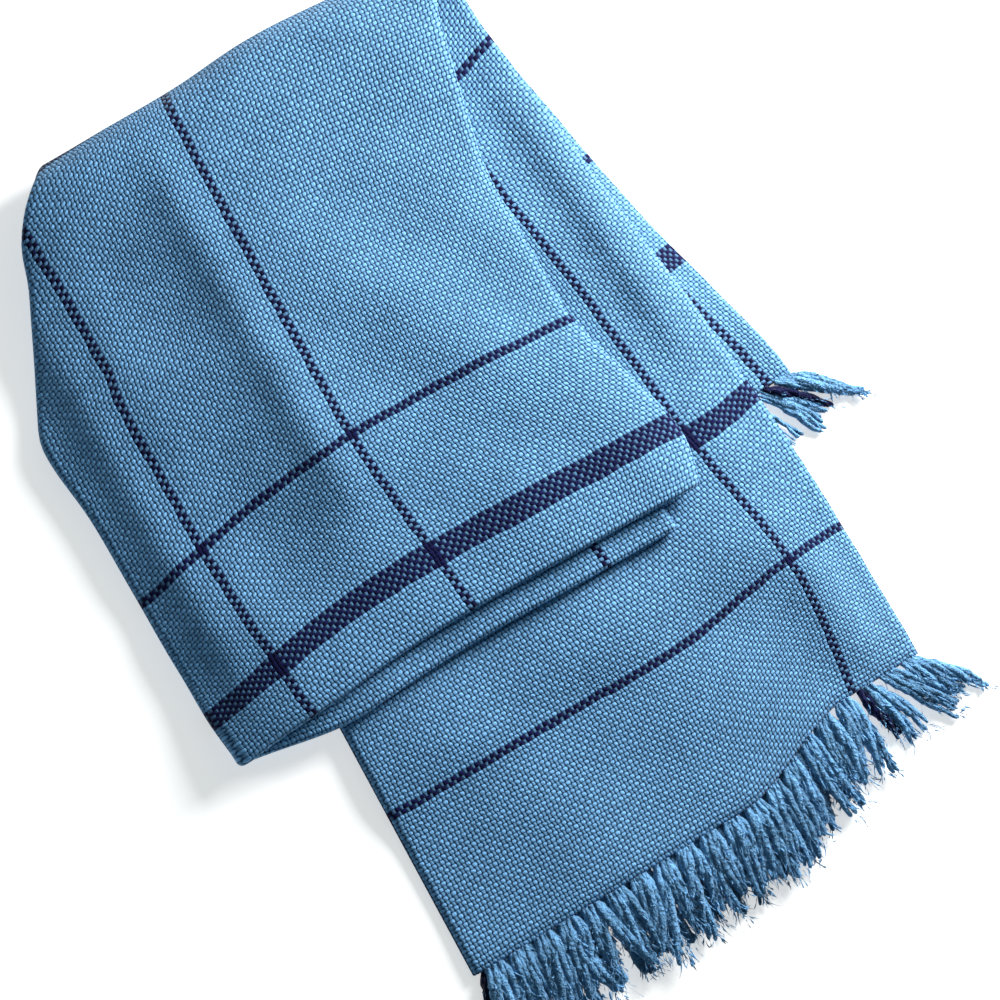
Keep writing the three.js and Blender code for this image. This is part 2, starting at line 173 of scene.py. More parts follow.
# Where the right selvedge and the outer stripe lie below, in the near half and in the far half
LOWER_PLAN = {
    "along": [440, 350, 260, 170, 120, 30, -80, -120, -160, -195],
    "edge": [330, 333, 346, 358, 366, 378, 386, 387, 388, 388],
    "stripe": [268, 272, 281, 297, 303, 315, 336, 336, 333, 329],
    "far_edge": [330, 334, 352, 373, 388, 411, 411, 411, 411, 411],
    "far_stripe": [270, 281, 318, 350, 366, 391, 391, 391, 391, 391],
}


def column(table: Dict[str, List[float]], name: str, along: Array) -> Array:
    """A column of a plan table at distances along the cloth, on a smooth curve through its rows.

    Args:
        table: The plan table, whose rows fall along the cloth.
        name: The column.
        along: The distances.

    Returns:
        The column's value at each distance.
    """
    knots = np.array(table["along"], float)
    values = np.array(table[name], float)
    at = np.clip(along, knots[-1], knots[0])
    before = np.maximum(np.arange(len(knots)) - 1, 0)
    after = np.minimum(np.arange(len(knots)) + 1, len(knots) - 1)
    slopes = (values[after] - values[before]) / (knots[after] - knots[before])
    row = np.clip(np.searchsorted(-knots, -at, side="left") - 1, 0, len(knots) - 2)
    span = knots[row + 1] - knots[row]
    t = (at - knots[row]) / span
    straight = mix(values[row], values[row + 1], smooth(t))
    return straight + span * (t * (1 - t) ** 2 * slopes[row] + t**2 * (t - 1) * slopes[row + 1])


@dataclass(frozen=True)
class FoldedCloth:
    """The cloth's sizes and the way it is folded, in millimetres."""

    width: float = 706
    thickness: float = 2.2
    mid_fold_at: float = 1068
    top_fold_at: float = 605
    far_end_at: float = 221
    side_fold_at: float = 382
    outer_stripe_at: float = 57
    middle_stripe_at: float = 390
    inner_stripe_at: float = 516
    thin_weft_stripes_at: Tuple[float, ...] = (118, 536, 926, 1315, 1711)
    thick_weft_stripes_at: Tuple[float, ...] = (226, 637, 1030, 1420, 1806)
    layer_pitch: float = 3.2
    mid_fold_radius: float = 3.5
    top_fold_radius: float = 14
    top_loop_pressed: float = 0.45
    top_loop_reach: float = 110
    mid_loop_reach: float = 90
    creep_reach: float = 100
    near_end_y: float = -194
    side_drop_reach: float = 80
    margin_drop_reach: float = 64
    end_drop_reach: float = 50
    far_end_pressed: float = 0.85
    edge_clearance: float = 4
    fringe_reach: float = 68.9
    narrowest_spread: float = 0.84
    narrowing: Rise = Rise(1, 310, 90)
    slants: Slant = Slant()
    ripple_waves: int = 16
    ripple_lengths: Tuple[float, float] = (45, 170)
    ripple_phases: Tuple[float, float] = (0, 6.3)
    ripple_height: float = 0.4
    ripple_height_length: float = 100
    ripple_seed: int = 7
    crease_fade: float = 0.15
    creases: Tuple[Crease, ...] = (
        Crease((-52, 330), (-42, 40), 14, 14, 3.4),
        Crease((71, 390), (79, 130), 14, 14, 3.2),
        Crease((320, 365), (346, 110), 13, 50, 5),
        Crease((350, -60), (350, -150), 22, 22, 4),
        Crease((92, 380), (108, 110), 55, 115, 8),
    )

    @property
    def side_bulge(self) -> float:
        """How far the side fold stands out past the fold line."""
        return 1.5 * self.layer_pitch + self.thickness / 2

    @property
    def lower_edge_x(self) -> float:
        """The X of the left selvedge, under the right part."""
        return self.side_bulge + self.width - self.side_fold_at - math.pi * self.layer_pitch / 2

    @property
    def length(self) -> float:
        """The flat length from the near end to the far end."""
        return 2 * self.mid_fold_at + math.pi * self.mid_fold_radius - self.far_end_at

    @property
    def warp_stripes_at(self) -> Tuple[float, float, float]:
        """How far from the right selvedge the stripes along the cloth lie."""
        return self.outer_stripe_at, self.middle_stripe_at, self.inner_stripe_at

    def half_gap(self, path: Array) -> Array:
        """The gap between the near half and the far half, which opens towards the mid fold."""
        near_fold = smooth((path - self.mid_fold_at + self.mid_loop_reach) / self.mid_loop_reach)
        return mix(self.layer_pitch, 2 * self.mid_fold_radius, near_fold)

    def half_share(self, flat_along: Array) -> Array:
        """The share of the way from the near half to the far half, eased past the mid fold."""
        return smooth((flat_along - self.mid_fold_at + self.creep_reach) / (2 * self.creep_reach))

    def side_radius(self, flat_along: Array) -> Array:
        """The radius that the side fold's length is measured on."""
        return (1.5 - self.half_share(flat_along)) * self.layer_pitch

    def top_radius(self, flat_along: Array, past_side_fold: Array) -> Array:
        """The radius that the top fold's length is measured on, this far past the side fold."""
        right_depth = self.half_share(flat_along) * self.layer_pitch
        left_depth = 3 * self.layer_pitch - right_depth
        left_share = smooth((past_side_fold + self.creep_reach) / (2 * self.creep_reach))
        return self.top_fold_radius + mix(right_depth, left_depth, left_share)

    def upper_along(self, path: Array) -> Array:
        """The along value in the upper stack of the side fold's spot at this length of cloth."""
        radius = self.top_fold_radius + 1.5 * self.layer_pitch
        return 2 * self.top_fold_at + math.pi * radius + self.near_end_y - path

    def side_fold_flat(self, path: Array) -> Array:
        """Where the side fold lies in the flat cloth: it drifts to keep the middle stripe straight."""
        along = self.upper_along(path)
        drift = column(UPPER_PLAN, "left", along) - column(UPPER_PLAN, "middle_stripe", along)
        above = self.middle_stripe_at - math.pi * 1.5 * self.layer_pitch + self.side_bulge + drift
        past_top = smooth((path - self.top_fold_at) / (math.pi * self.top_fold_radius))
        return mix(self.side_fold_at, above, past_top)

    def far_trim(self, along: Array) -> Array:
        """The flat width hidden at the right of the far half, whose margin shows only in part."""
        shown = column(LOWER_PLAN, "far_edge", along) - column(LOWER_PLAN, "far_stripe", along)
        return np.maximum(self.outer_stripe_at - shown, 0)

    def hidden_spread(self, along: Array) -> Array:
        """How much the right part is drawn together under the upper stack, close to the top fold."""
        return mix(1, self.narrowest_spread, self.narrowing.at(along))

    def right_part_x(self, across: Array, fold_at: Array, fold_x: Array, along: Array, over: Array,
                     half: Array) -> Array:
        """The X of spots on the right part.

        Args:
            across: The flat distance from the right selvedge.
            fold_at: Where the side fold lies in the flat cloth.
            fold_x: The X of the side fold.
            along: The distance along, for the plan tables.
            over: The share of the way round the top fold.
            half: The share of the way from the near half to the far half.

        Returns:
            The X of each spot.
        """
        def bend(edge: Array, stripe: Array) -> Array:
            margin = mix(edge, stripe, across / self.outer_stripe_at)
            inner = (across - self.outer_stripe_at) / (fold_at - self.outer_stripe_at)
            return np.where(across < self.outer_stripe_at, margin, mix(stripe, fold_x, inner))

        near = bend(column(LOWER_PLAN, "edge", along), column(LOWER_PLAN, "stripe", along))
        far_stripe = column(LOWER_PLAN, "far_stripe", along)
        far = bend(far_stripe + self.outer_stripe_at, far_stripe)
        above = fold_x + (fold_at - across) * self.hidden_spread(along)
        return mix(mix(near, far, half), above, over)

    def left_part_x(self, across: Array, past_turn: Array, fold_x: Array, along: Array, over: Array,
                    half: Array) -> Array:
        """The X of spots on the left part.

        Args:
            across: The flat distance from the right selvedge.
            past_turn: The flat distance past the side fold.
            fold_x: The X of the side fold.
            along: The distance along, for the plan tables.
            over: The share of the way round the top fold.
            half: The share of the way from the near half to the far half.

        Returns:
            The X of each spot.
        """
        below = fold_x + past_turn
        stripe = column(UPPER_PLAN, "inner_stripe", along)
        edge = mix(column(UPPER_PLAN, "right", along), column(UPPER_PLAN, "far_right", along), half)
        start = across - past_turn
        inner = mix(fold_x, stripe, past_turn / (self.inner_stripe_at - start))
        outer = mix(stripe, edge, (across - self.inner_stripe_at) / (self.width - self.inner_stripe_at))
        above = np.where(across > self.inner_stripe_at, outer, inner)
        return mix(below, above, over)

    def slant(self, x: Array, path: Array, over: Array) -> Array:
        """How far a line across the cloth slants up at these X."""
        lines = self.slants
        stripe, next_stripe = self.thin_weft_stripes_at[0], self.thick_weft_stripes_at[0]
        rows = lines.row_slope * x + lines.row_rise.at(x)
        at_stripe = lines.stripe_lift + lines.stripe_rise.at(x)
        near_part = mix(lines.end_rise.at(x), at_stripe, smooth(path / stripe))
        below = mix(near_part, rows, smooth((path - stripe) / (next_stripe - stripe)))
        past_mid = path - self.mid_fold_at
        past_top = path - self.top_fold_at
        corner = lines.corner_rise.at(-x) * lines.corner_path.at(past_mid)
        at_mid = (lines.mid_lift - lines.mid_drop.at(x)) * lines.mid_path.at(past_mid)
        above = lines.above_lift + lines.above_rise.at(x) + corner + at_mid
        at_top = lines.top_rise.at(x) * lines.top_path.at(past_top) * lines.top_end.at(-past_top)
        drawn_up = lines.drawn_rise.at(x) * lines.drawn_path.at(past_top) * lines.drawn_end.at(-past_top)
        return mix(below, above, over) + at_top + drawn_up

    def crease_height(self, x: Array, y: Array) -> Array:
        """The height that old creases add at spots in the plan."""
        height = np.zeros_like(x)
        fade = self.crease_fade
        for crease in self.creases:
            run = np.subtract(crease.end, crease.start).astype(float)
            away_x, away_y = x - crease.start[0], y - crease.start[1]
            share = (away_x * run[0] + away_y * run[1]) / (run @ run)
            away = (away_x * run[1] - away_y * run[0]) / math.hypot(*run)
            width = np.where(away > 0, crease.left_width, crease.right_width)
            ends = smooth((share + fade) / (2 * fade)) * smooth((1 + fade - share) / (2 * fade))
            height += crease.height * ends * np.exp(-((away / width) ** 2))
        return height

    def ripples(self, x: Array, y: Array) -> Array:
        """The height of the cloth's small ripples at spots in the plan.

        Args:
            x: The X of the spots.
            y: The Y of the spots.

        Returns:
            The height of each spot over or under an even cloth.
        """
        height = np.zeros_like(x)
        rng = np.random.default_rng(self.ripple_seed)
        for _ in range(self.ripple_waves):
            angle = rng.uniform(0, math.pi)
            length = rng.uniform(*self.ripple_lengths)
            phase = rng.uniform(*self.ripple_phases)
            wave = (x * math.cos(angle) + y * math.sin(angle)) / length
            swell = self.ripple_height * length / self.ripple_height_length
            height += swell * np.sin(2 * math.pi * wave + phase)
        return height

    def settle(self, x: Array, y: Array, level: Array, gap: Array) -> Array:
        """Lets the layers down where those under them end, so that each lies on what is there.

        Args:
            x: The X of the spots.
            y: The Y of the spots.
            level: Their height if no layer under them ended.
            gap: The gap between the two halves there.

        Returns:
            The height of each spot over the floor.
        """
        past_left = smooth((-self.edge_clearance - x) / self.side_drop_reach)
        far_line = self.far_end_at + self.near_end_y + self.slant(x, self.far_end_at, 0)
        room = self.fringe_reach + self.edge_clearance
        past_far_end = smooth((far_line - room - y) / self.end_drop_reach) * self.far_end_pressed
        past_lower = smooth((x - self.lower_edge_x - self.edge_clearance) / self.margin_drop_reach)
        along = np.minimum(y, UPPER_PLAN["along"][0])
        upper_fold = column(UPPER_PLAN, "left", along) + self.side_bulge
        fold_flat = self.side_fold_flat(self.upper_along(0) - along)
        upper_edge = upper_fold + fold_flat * self.hidden_spread(along)
        past_upper = smooth((x - upper_edge - self.edge_clearance) / self.margin_drop_reach)
        from_loop = smooth((self.top_fold_at + self.near_end_y - y) / self.top_loop_reach)

        def either(a: Array, b: Array) -> Array:
            return 1 - (1 - a) * (1 - b)

        pitch = self.layer_pitch
        slots = (
            (pitch, either(past_left, past_lower)),
            (pitch, either(past_left, either(past_lower, past_far_end))),
            (pitch, either(past_left, past_far_end)),
            (pitch, past_left),
            (2 * self.top_fold_radius - pitch, mix(self.top_loop_pressed, 1, from_loop)),
            (gap + pitch, past_upper),
        )
        bottom = -pitch / 2
        height = level
        for depth, empty in slots:
            height = height - empty * depth * np.clip((level - bottom) / depth, 0, 1)
            bottom = bottom + depth
        creased = self.crease_height(x, y) * smooth(level / (3 * pitch))
        rippled = self.ripples(x, y) * smooth(height / (3 * pitch))
        return height + creased + rippled + self.thickness / 2

    def past_top_fold(self, share: Array, arc: Array) -> Array:
        """How far past the top fold a row lies. The rows of all the layers are level at first."""
        length = self.mid_fold_at - self.top_fold_at - arc
        widest = self.top_fold_radius + 3 * self.layer_pitch
        shortest = self.mid_fold_at - self.top_fold_at - math.pi * widest
        return share * shortest + (length - shortest) * smooth(2 * share - 1)

    def fold(self, rows: Sequence[Row], lanes: Sequence[Lane], offset: float) -> Tuple[Array, Array]:
        """Folds a grid of the cloth.

        Args:
            rows: The grid's rows, from the near end to the far end.
            lanes: The grid's lanes, from the right selvedge to the left one.
            offset: The height over the middle of the cloth's thickness.

        Returns:
            The folded places, rows by lanes by 3, and the flat places, rows by lanes by 2.
        """
        shape = (len(rows), len(lanes))

        def by_row(values: Sequence[Union[bool, float]]) -> Array:
            return np.broadcast_to(np.array(values)[:, None], shape)

        def by_lane(values: Sequence[Union[bool, float]]) -> Array:
            return np.broadcast_to(np.array(values)[None, :], shape)

        far = by_row([row.far for row in rows])
        mid = by_row([row.run is Run.MID for row in rows])
        row_share = by_row([row.share for row in rows])
        row_path = by_row([row.path for row in rows])
        right = by_lane([lane.part is Part.RIGHT for lane in lanes])
        left = by_lane([lane.part is Part.LEFT for lane in lanes])
        lane_share = by_lane([lane.share for lane in lanes])
        past = by_lane([lane.past for lane in lanes])

        flat_guess = np.where(far, 2 * self.mid_fold_at - row_path, row_path)
        past_fold = np.where(right, -self.side_fold_at * (1 - lane_share), past)
        arc = math.pi * self.top_radius(flat_guess, past_fold)
        path = np.select(
            [by_row([row.run is Run.TURN for row in rows]), by_row([row.run is Run.OVER for row in rows])],
            [self.top_fold_at + row_share * arc,
             self.top_fold_at + arc + self.past_top_fold(row_share, arc)],
            row_path,
        )

        # Fold across the middle of the length: the far half goes under the near half
        gap = self.half_gap(path)
        half_turn = row_share * math.pi
        height = np.where(far, -gap - offset, offset)
        height = np.where(mid, (gap / 2 + offset) * np.cos(half_turn) - gap / 2, height)
        path_out = np.where(mid, path + (gap / 2 + offset) * np.sin(half_turn), path)

        # Side fold: the left part goes under the right part
        fold_at = self.side_fold_flat(path)
        side_centre = gap + self.layer_pitch / 2
        flat_along = np.where(far, 2 * self.mid_fold_at - path, path)
        side_arc = math.pi * self.side_radius(flat_along)
        side_turn = np.where(left, math.pi, np.where(right, 0, lane_share * math.pi))
        side_reach = side_centre + height
        bulge = side_reach * np.sin(side_turn)
        stacked = side_reach * np.cos(side_turn) - side_centre

        # Top fold: all four layers turn up and back over themselves
        turn = np.clip((path_out - self.top_fold_at) / arc, 0, 1) * math.pi
        reach = self.top_fold_radius - stacked
        straight = np.minimum(path_out, self.top_fold_at)
        straight = straight - np.maximum(path_out - self.top_fold_at - arc, 0)
        y = straight + reach * np.sin(turn) + self.near_end_y
        level = 3 * self.layer_pitch + self.top_fold_radius - reach * np.cos(turn)
        over = smooth(turn / math.pi)

        # The plan: each edge and stripe goes where the table has it
        half = self.half_share(flat_along)
        along = np.clip(y, LOWER_PLAN["along"][-1], UPPER_PLAN["along"][0])
        fold_x = self.side_bulge + mix(0, column(UPPER_PLAN, "left", along), over)
        trimmed = half * (1 - over) * self.far_trim(along)
        across_right = mix(trimmed, fold_at, lane_share)
        past_turn = past * (self.width - fold_at - side_arc) / (self.width - self.side_fold_at)
        across_left = fold_at + side_arc + past_turn
        x_right = self.right_part_x(across_right, fold_at, fold_x, along, over, half)
        x_left = self.left_part_x(across_left, past_turn, fold_x, along, over, half)
        x = np.where(right, x_right, np.where(left, x_left, fold_x - bulge))
        across_turn = fold_at + lane_share * side_arc
        across = np.where(right, across_right, np.where(left, across_left, across_turn))
        y = y + self.slant(x, path, over)
        round_mid = math.pi * self.mid_fold_radius
        flat = np.where(far, 2 * self.mid_fold_at + round_mid - path, path)
        flat = np.where(mid, self.mid_fold_at + row_share * round_mid, flat)
        spots = np.stack([x, y, self.settle(x, y, level, gap)], axis=-1)
        return spots, np.stack([across, flat], axis=-1)


CLOTH = FoldedCloth()
NEAR_END = Row(Run.UNDER, False, 0)
FAR_END = Row(Run.UNDER, True, CLOTH.far_end_at)
RIGHT_SELVEDGE = Lane(Part.RIGHT)


def lanes_of(part: Part, step: float) -> List[Lane]:
    """The lanes of the right part, from its selvedge to the side fold, or those of the left part.

    Args:
        part: Which of the two parts.
        step: The widest gap between two lanes.

    Returns:
        The lanes.
    """
    if part is Part.RIGHT:
        count = math.ceil(CLOTH.side_fold_at / step)
        return [Lane(part, share=share) for share in np.linspace(0, 1, count + 1)]
    reach = CLOTH.width - CLOTH.side_fold_at
    return [Lane(part, past=past) for past in np.linspace(0, reach, math.ceil(reach / step) + 1)]


def frame_origin() -> Array:
    """Where the plan's own zero lies in the frame, in millimetres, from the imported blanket's box."""
    low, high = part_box("blanket")
    corner, _ = CLOTH.fold([FAR_END], [RIGHT_SELVEDGE], 0)
    return np.array([high[0] / MM - corner[0, 0, 0], low[1] / MM - CLOTH.near_end_y, 0.0])


def link(name: str, data: bpy.types.ID) -> bpy.types.Object:
    """Adds an object to the scene.

    Args:
        name: The object's name.
        data: Its mesh, light or camera.

    Returns:
        The object.
    """
    made = bpy.data.objects.new(name, data)
    bpy.context.scene.collection.objects.link(made)
    return made


def mesh_object(name: str, spots: Array, faces: List[Tuple[int, ...]]) -> bpy.types.Object:
    """Makes a mesh object at the origin.

    Args:
        name: The piece's name.
        spots: Its vertices in the plan, in millimetres.
        faces: Its faces.

    Returns:
        The object, linked to the scene, with smooth faces.
    """
    mesh = bpy.data.meshes.new(name)
    mesh.from_pydata(((spots + frame_origin()) * MM).tolist(), [], faces)
    mesh.shade_smooth()
    return link(name, mesh)


SocketValue = Union[float, Sequence[float], bpy.types.NodeSocket]
Sockets = bpy.types.bpy_prop_collection


class Nodes:
    """Adds nodes to one tree and joins their sockets."""

    def __init__(self, tree: bpy.types.NodeTree) -> None:
        """Keeps the tree that nodes are added to."""
        self.tree = tree

    def put(self, socket: bpy.types.NodeSocket, value: SocketValue) -> None:
        """Joins a value to a socket: another socket by a link, anything else as its default."""
        if isinstance(value, bpy.types.NodeSocket):
            self.tree.links.new(value, socket)
        else:
            socket.default_value = value

    def add(self, kind: str, inputs: Optional[Dict[Union[int, str], SocketValue]] = None,
            **settings: Union[str, bool, bpy.types.NodeTree]) -> bpy.types.Node:
        """Adds a node.

        Args:
            kind: The node's type.
            inputs: Values for its input sockets.
            settings: Values for its own properties.

        Returns:
            The node.
        """
        node = self.tree.nodes.new(kind)
        for name, value in settings.items():
            setattr(node, name, value)
        for name, value in (inputs or {}).items():
            self.put(node.inputs[name], value)
        return node

    def group(self, group: bpy.types.NodeTree, inputs: Dict[str, SocketValue]) -> Sockets:
        """Places a shader group and returns the sockets of its results."""
        return self.add("ShaderNodeGroup", inputs, node_tree=group).outputs

    def math(self, operation: str, *values: SocketValue) -> bpy.types.NodeSocket:
        """Adds a Math node and returns its result."""
        return self.add("ShaderNodeMath", dict(enumerate(values)), operation=operation).outputs[0]

    def vector(self, operation: str, inputs: Dict[Union[int, str], SocketValue]) -> bpy.types.NodeSocket:
        """Adds a Vector Math node and returns its result."""
        return self.add("ShaderNodeVectorMath", inputs, operation=operation).outputs[0]

    def about_zero(self, noise: bpy.types.Node) -> bpy.types.NodeSocket:
        """A noise's colour as a vector that strays to all sides."""
        return self.vector("SUBTRACT", {0: noise.outputs["Color"], 1: (0.5, 0.5, 0.5)})

    def blend(self, share: SocketValue, a: SocketValue, b: SocketValue,
              kind: str = "MIX") -> bpy.types.NodeSocket:
        """Mixes two colours and returns the result.

        Args:
            share: How much of the second colour.
            a: The first colour.
            b: The second colour.
            kind: The blend.

        Returns:
            The mixed colour.
        """
        node = self.add("ShaderNodeMix", data_type="RGBA", blend_type=kind)
        for index, value in ((0, share), (6, a), (7, b)):
            self.put(node.inputs[index], value)
        return node.outputs[2]

    def between(self, share: SocketValue, a: SocketValue, b: SocketValue) -> bpy.types.NodeSocket:
        """Mixes two numbers and returns the result."""
        node = self.add("ShaderNodeMix", {0: share, 2: a, 3: b}, data_type="FLOAT")
        return node.outputs[0]

    def eased(self, value: SocketValue, low: float, high: float) -> bpy.types.NodeSocket:
        """An eased step from 0 to 1 as a value goes from low to high."""
        inputs = {"Value": value, "From Min": low, "From Max": high, "To Min": 0.0, "To Max": 1.0}
        return self.add("ShaderNodeMapRange", inputs, interpolation_type="SMOOTHSTEP").outputs[0]


def new_group(name: str, inputs: Dict[str, str], outputs: Dict[str, str],
              kind: str = "ShaderNodeTree") -> Tuple[Nodes, Sockets, Sockets]:
    """Makes a node group with its sockets and its two end nodes.

    Args:
        name: The group's name.
        inputs: Its input sockets' names and types.
        outputs: Its output sockets' names and types.
        kind: Its type.

    Returns:
        The group's nodes, the sockets that give its inputs, and those that take its results.
    """
    group = bpy.data.node_groups.new(name, kind)
    for direction, sockets in (("INPUT", inputs), ("OUTPUT", outputs)):
        for label, socket_type in sockets.items():
            group.interface.new_socket(label, in_out=direction, socket_type=socket_type)
    nodes = Nodes(group)
    return nodes, nodes.add("NodeGroupInput").outputs, nodes.add("NodeGroupOutput").inputs


def new_material(name: str) -> Tuple[bpy.types.Material, Nodes]:
    """Makes a material with a Principled shader.

    Args:
        name: The material's name.

    Returns:
        The material and its nodes.
    """
    material = bpy.data.materials.new(name)
    material.use_nodes = True
    return material, Nodes(material.node_tree)


FLOAT = "NodeSocketFloat"
VECTOR = "NodeSocketVector"
GEOMETRY = "NodeSocketGeometry"
THREAD_PITCH = 3.0
THIN_STRIPE = 2 * THREAD_PITCH
THICK_STRIPE = 6 * THREAD_PITCH


@dataclass(frozen=True)
class WoolGroups:
    """The shader groups that the wool's materials share."""

    weave: bpy.types.NodeTree
    stripes: bpy.types.NodeTree
    fibre: bpy.types.NodeTree


@dataclass(frozen=True)
class Weave:
    """How high the threads of the plain weave stand, as shares of the relief."""

    wave: float = 0.44
    flatness: float = 0.5
    body: float = 0.76
    scale: float = 0.8
    base: float = 0.1

    def group(self) -> bpy.types.NodeTree:
        """Makes the plain weave: each round thread waves over and under those that cross it.

        Returns:
            The group. Its Flat input is the place in the flat cloth in mm, across and along, and
            its Bolder inputs raise the warp and the weft threads. Its outputs are the height of the
            thread on top, 1 where that is a weft thread, and a shade for each crossing.
        """
        nodes, given, result = new_group(
            "plain weave",
            {"Flat": VECTOR, "Pitch": FLOAT, "Warp bolder": FLOAT, "Weft bolder": FLOAT},
            {"Height": FLOAT, "Weft on top": FLOAT, "Shade": FLOAT},
        )
        flat = nodes.add("ShaderNodeSeparateXYZ", {0: given["Flat"]}).outputs
        counts = [nodes.math("DIVIDE", flat[axis], given["Pitch"]) for axis in (0, 1)]
        threads = [nodes.math("FLOOR", count) for count in counts]
        surfaces = []
        for own, other, first, bolder in ((0, 1, 0.0, "Warp bolder"), (1, 0, 1.0, "Weft bolder")):
            within = nodes.math("SUBTRACT", counts[own], threads[own])
            from_middle = nodes.math("ABSOLUTE", nodes.math("MULTIPLY_ADD", within, 2.0, -1.0))
            body = nodes.math("SUBTRACT", 1.0, nodes.math("POWER", from_middle, 2.0))
            turns = nodes.math("ADD", nodes.math("SUBTRACT", counts[other], 0.5 - first), threads[own])
            wave = nodes.math("COSINE", nodes.math("MULTIPLY", turns, math.pi))
            squared = nodes.math("MULTIPLY", wave, wave)
            flatter = nodes.math("MULTIPLY_ADD", squared, -self.flatness, 1 + self.flatness)
            level = nodes.math("MULTIPLY", wave, flatter)
            raised = nodes.math("MULTIPLY_ADD", level, self.wave, given[bolder])
            surfaces.append(nodes.math("MULTIPLY_ADD", body, self.body, raised))
        crossing = nodes.add("ShaderNodeCombineXYZ", {0: threads[0], 1: threads[1]}).outputs[0]
        tone_and_painted_shade = nodes.add("ShaderNodeTexWhiteNoise", {"Vector": crossing}, noise_dimensions="2D")
        height = nodes.math("MULTIPLY_ADD", nodes.math("MAXIMUM", *surfaces), self.scale, self.base)
        nodes.put(result["Height"], height)
        nodes.put(result["Weft on top"], nodes.math("GREATER_THAN", surfaces[1], surfaces[0]))
        nodes.put(result["Shade"], tone_and_painted_shade.outputs["Value"])
        return nodes.tree


def stripes_group() -> bpy.types.NodeTree:
    """Makes the window-pane stripes, thread by thread.

    Returns:
        The group, which gives 1 where the warp thread is a dark one and where the weft thread is.
    """
    warp = [(at, THIN_STRIPE) for at in CLOTH.warp_stripes_at]
    weft = [(at, THIN_STRIPE) for at in CLOTH.thin_weft_stripes_at]
    weft += [(at, THICK_STRIPE) for at in CLOTH.thick_weft_stripes_at]
    nodes, given, result = new_group(
        "window-pane stripes",
        {"Flat": VECTOR, "Pitch": FLOAT},
        {"Dark warp": FLOAT, "Dark weft": FLOAT},
    )
    flat = nodes.add("ShaderNodeSeparateXYZ", {0: given["Flat"]}).outputs
    for axis, name, stripes in ((0, "Dark warp", warp), (1, "Dark weft", weft)):
        thread = nodes.math("FLOOR", nodes.math("DIVIDE", flat[axis], given["Pitch"]))
        middle = nodes.math("MULTIPLY", nodes.math("ADD", thread, 0.5), given["Pitch"])
        mask: SocketValue = 0.0
        for at, width in stripes:
            mask = nodes.math("ADD", mask, nodes.math("COMPARE", middle, at, width / 2))
        nodes.put(result[name], mask)
    return nodes.tree


def fibre_group() -> bpy.types.NodeTree:
    """Makes the look of wool fibre: the clouds of its dye, and its flecks.

    Returns:
        The group. Its Place input is in metres, and its outputs lie about 0.5.
    """
    nodes, given, result = new_group(
        "wool fibre",
        {"Place": VECTOR, "Cloud size": FLOAT, "Fleck size": FLOAT},
        {"Cloud": FLOAT, "Fleck": FLOAT},
    )
    for name, detail in (("Cloud", 3.0), ("Fleck", 2.0)):
        scale = nodes.math("DIVIDE", 1.0, given[name + " size"])
        inputs = {"Vector": given["Place"], "Scale": scale, "Detail": detail, "Roughness": 0.6}
        nodes.put(result[name], nodes.add("ShaderNodeTexNoise", inputs).outputs[0])
    return nodes.tree


def make_groups() -> WoolGroups:
    """Builds the shared shader groups once."""
    return WoolGroups(Weave().group(), stripes_group(), fibre_group())


@dataclass(frozen=True)
class Wool:
    """What both finishes of the wool have: dye, tones, relief and sheen, with sizes in metres."""

    light: Colour
    dark: Colour
    cloud_size: float
    fleck_size: float
    cloud_tone: float
    fleck_tone: float
    bump: float
    relief: float
    roughness: float
    specular: float
    sheen: float
    sheen_roughness: float

    def fibre(self, nodes: Nodes, groups: WoolGroups, place: bpy.types.NodeSocket) -> Sockets:
        """Places the shared fibre group at this wool's sizes and returns its results."""
        sizes = {"Place": place, "Cloud size": self.cloud_size, "Fleck size": self.fleck_size}
        return nodes.group(groups.fibre, sizes)

    def tones(self, nodes: Nodes, fibre: Sockets, base: SocketValue) -> bpy.types.NodeSocket:
        """How light the wool is: a base tone with flecks and clouds."""
        flecked = nodes.math("MULTIPLY_ADD", fibre["Fleck"], self.fleck_tone, base)
        return nodes.math("MULTIPLY_ADD", fibre["Cloud"], self.cloud_tone, flecked)

    def dress(self, nodes: Nodes, dyed: SocketValue, tones: SocketValue, height: SocketValue) -> None:
        """Joins the look to the material's own shader.

        Args:
            nodes: The material's nodes.
            dyed: The dye's colour.
            tones: How light the wool is, with any painted shade.
            height: The height that the relief shows.
        """
        shader = nodes.tree.nodes["Principled BSDF"]
        grey = nodes.add("ShaderNodeCombineColor", {0: tones, 1: tones, 2: tones}).outputs[0]
        depth = {"Strength": self.bump, "Distance": self.relief, "Height": height}
        values = {
            "Base Color": nodes.blend(1.0, dyed, grey, "MULTIPLY"),
            "Normal": nodes.add("ShaderNodeBump", depth).outputs[0],
            "Roughness": self.roughness,
            "Specular IOR Level": self.specular,
            "Sheen Weight": self.sheen,
            "Sheen Roughness": self.sheen_roughness,
        }
        for name, value in values.items():
            nodes.put(shader.inputs[name], value)


WOVEN = Wool(
    light=(0.172, 0.395, 0.665),
    dark=(0.003, 0.004, 0.045),
    cloud_size=0.05,
    fleck_size=0.0011,
    cloud_tone=0.16,
    fleck_tone=0.5,
    bump=0.8,
    relief=0.0014,
    roughness=0.9,
    specular=0.1,
    sheen=0.1,
    sheen_roughness=0.45,
)
YARN = Wool(
    light=(0.14, 0.325, 0.55),
    dark=(0.004, 0.006, 0.045),
    cloud_size=0.012,
    fleck_size=0.0022,
    cloud_tone=0.4,
    fleck_tone=1.7,
    bump=1.0,
    relief=0.0026,
    roughness=0.95,
    specular=0.12,
    sheen=0.2,
    sheen_roughness=0.4,
)


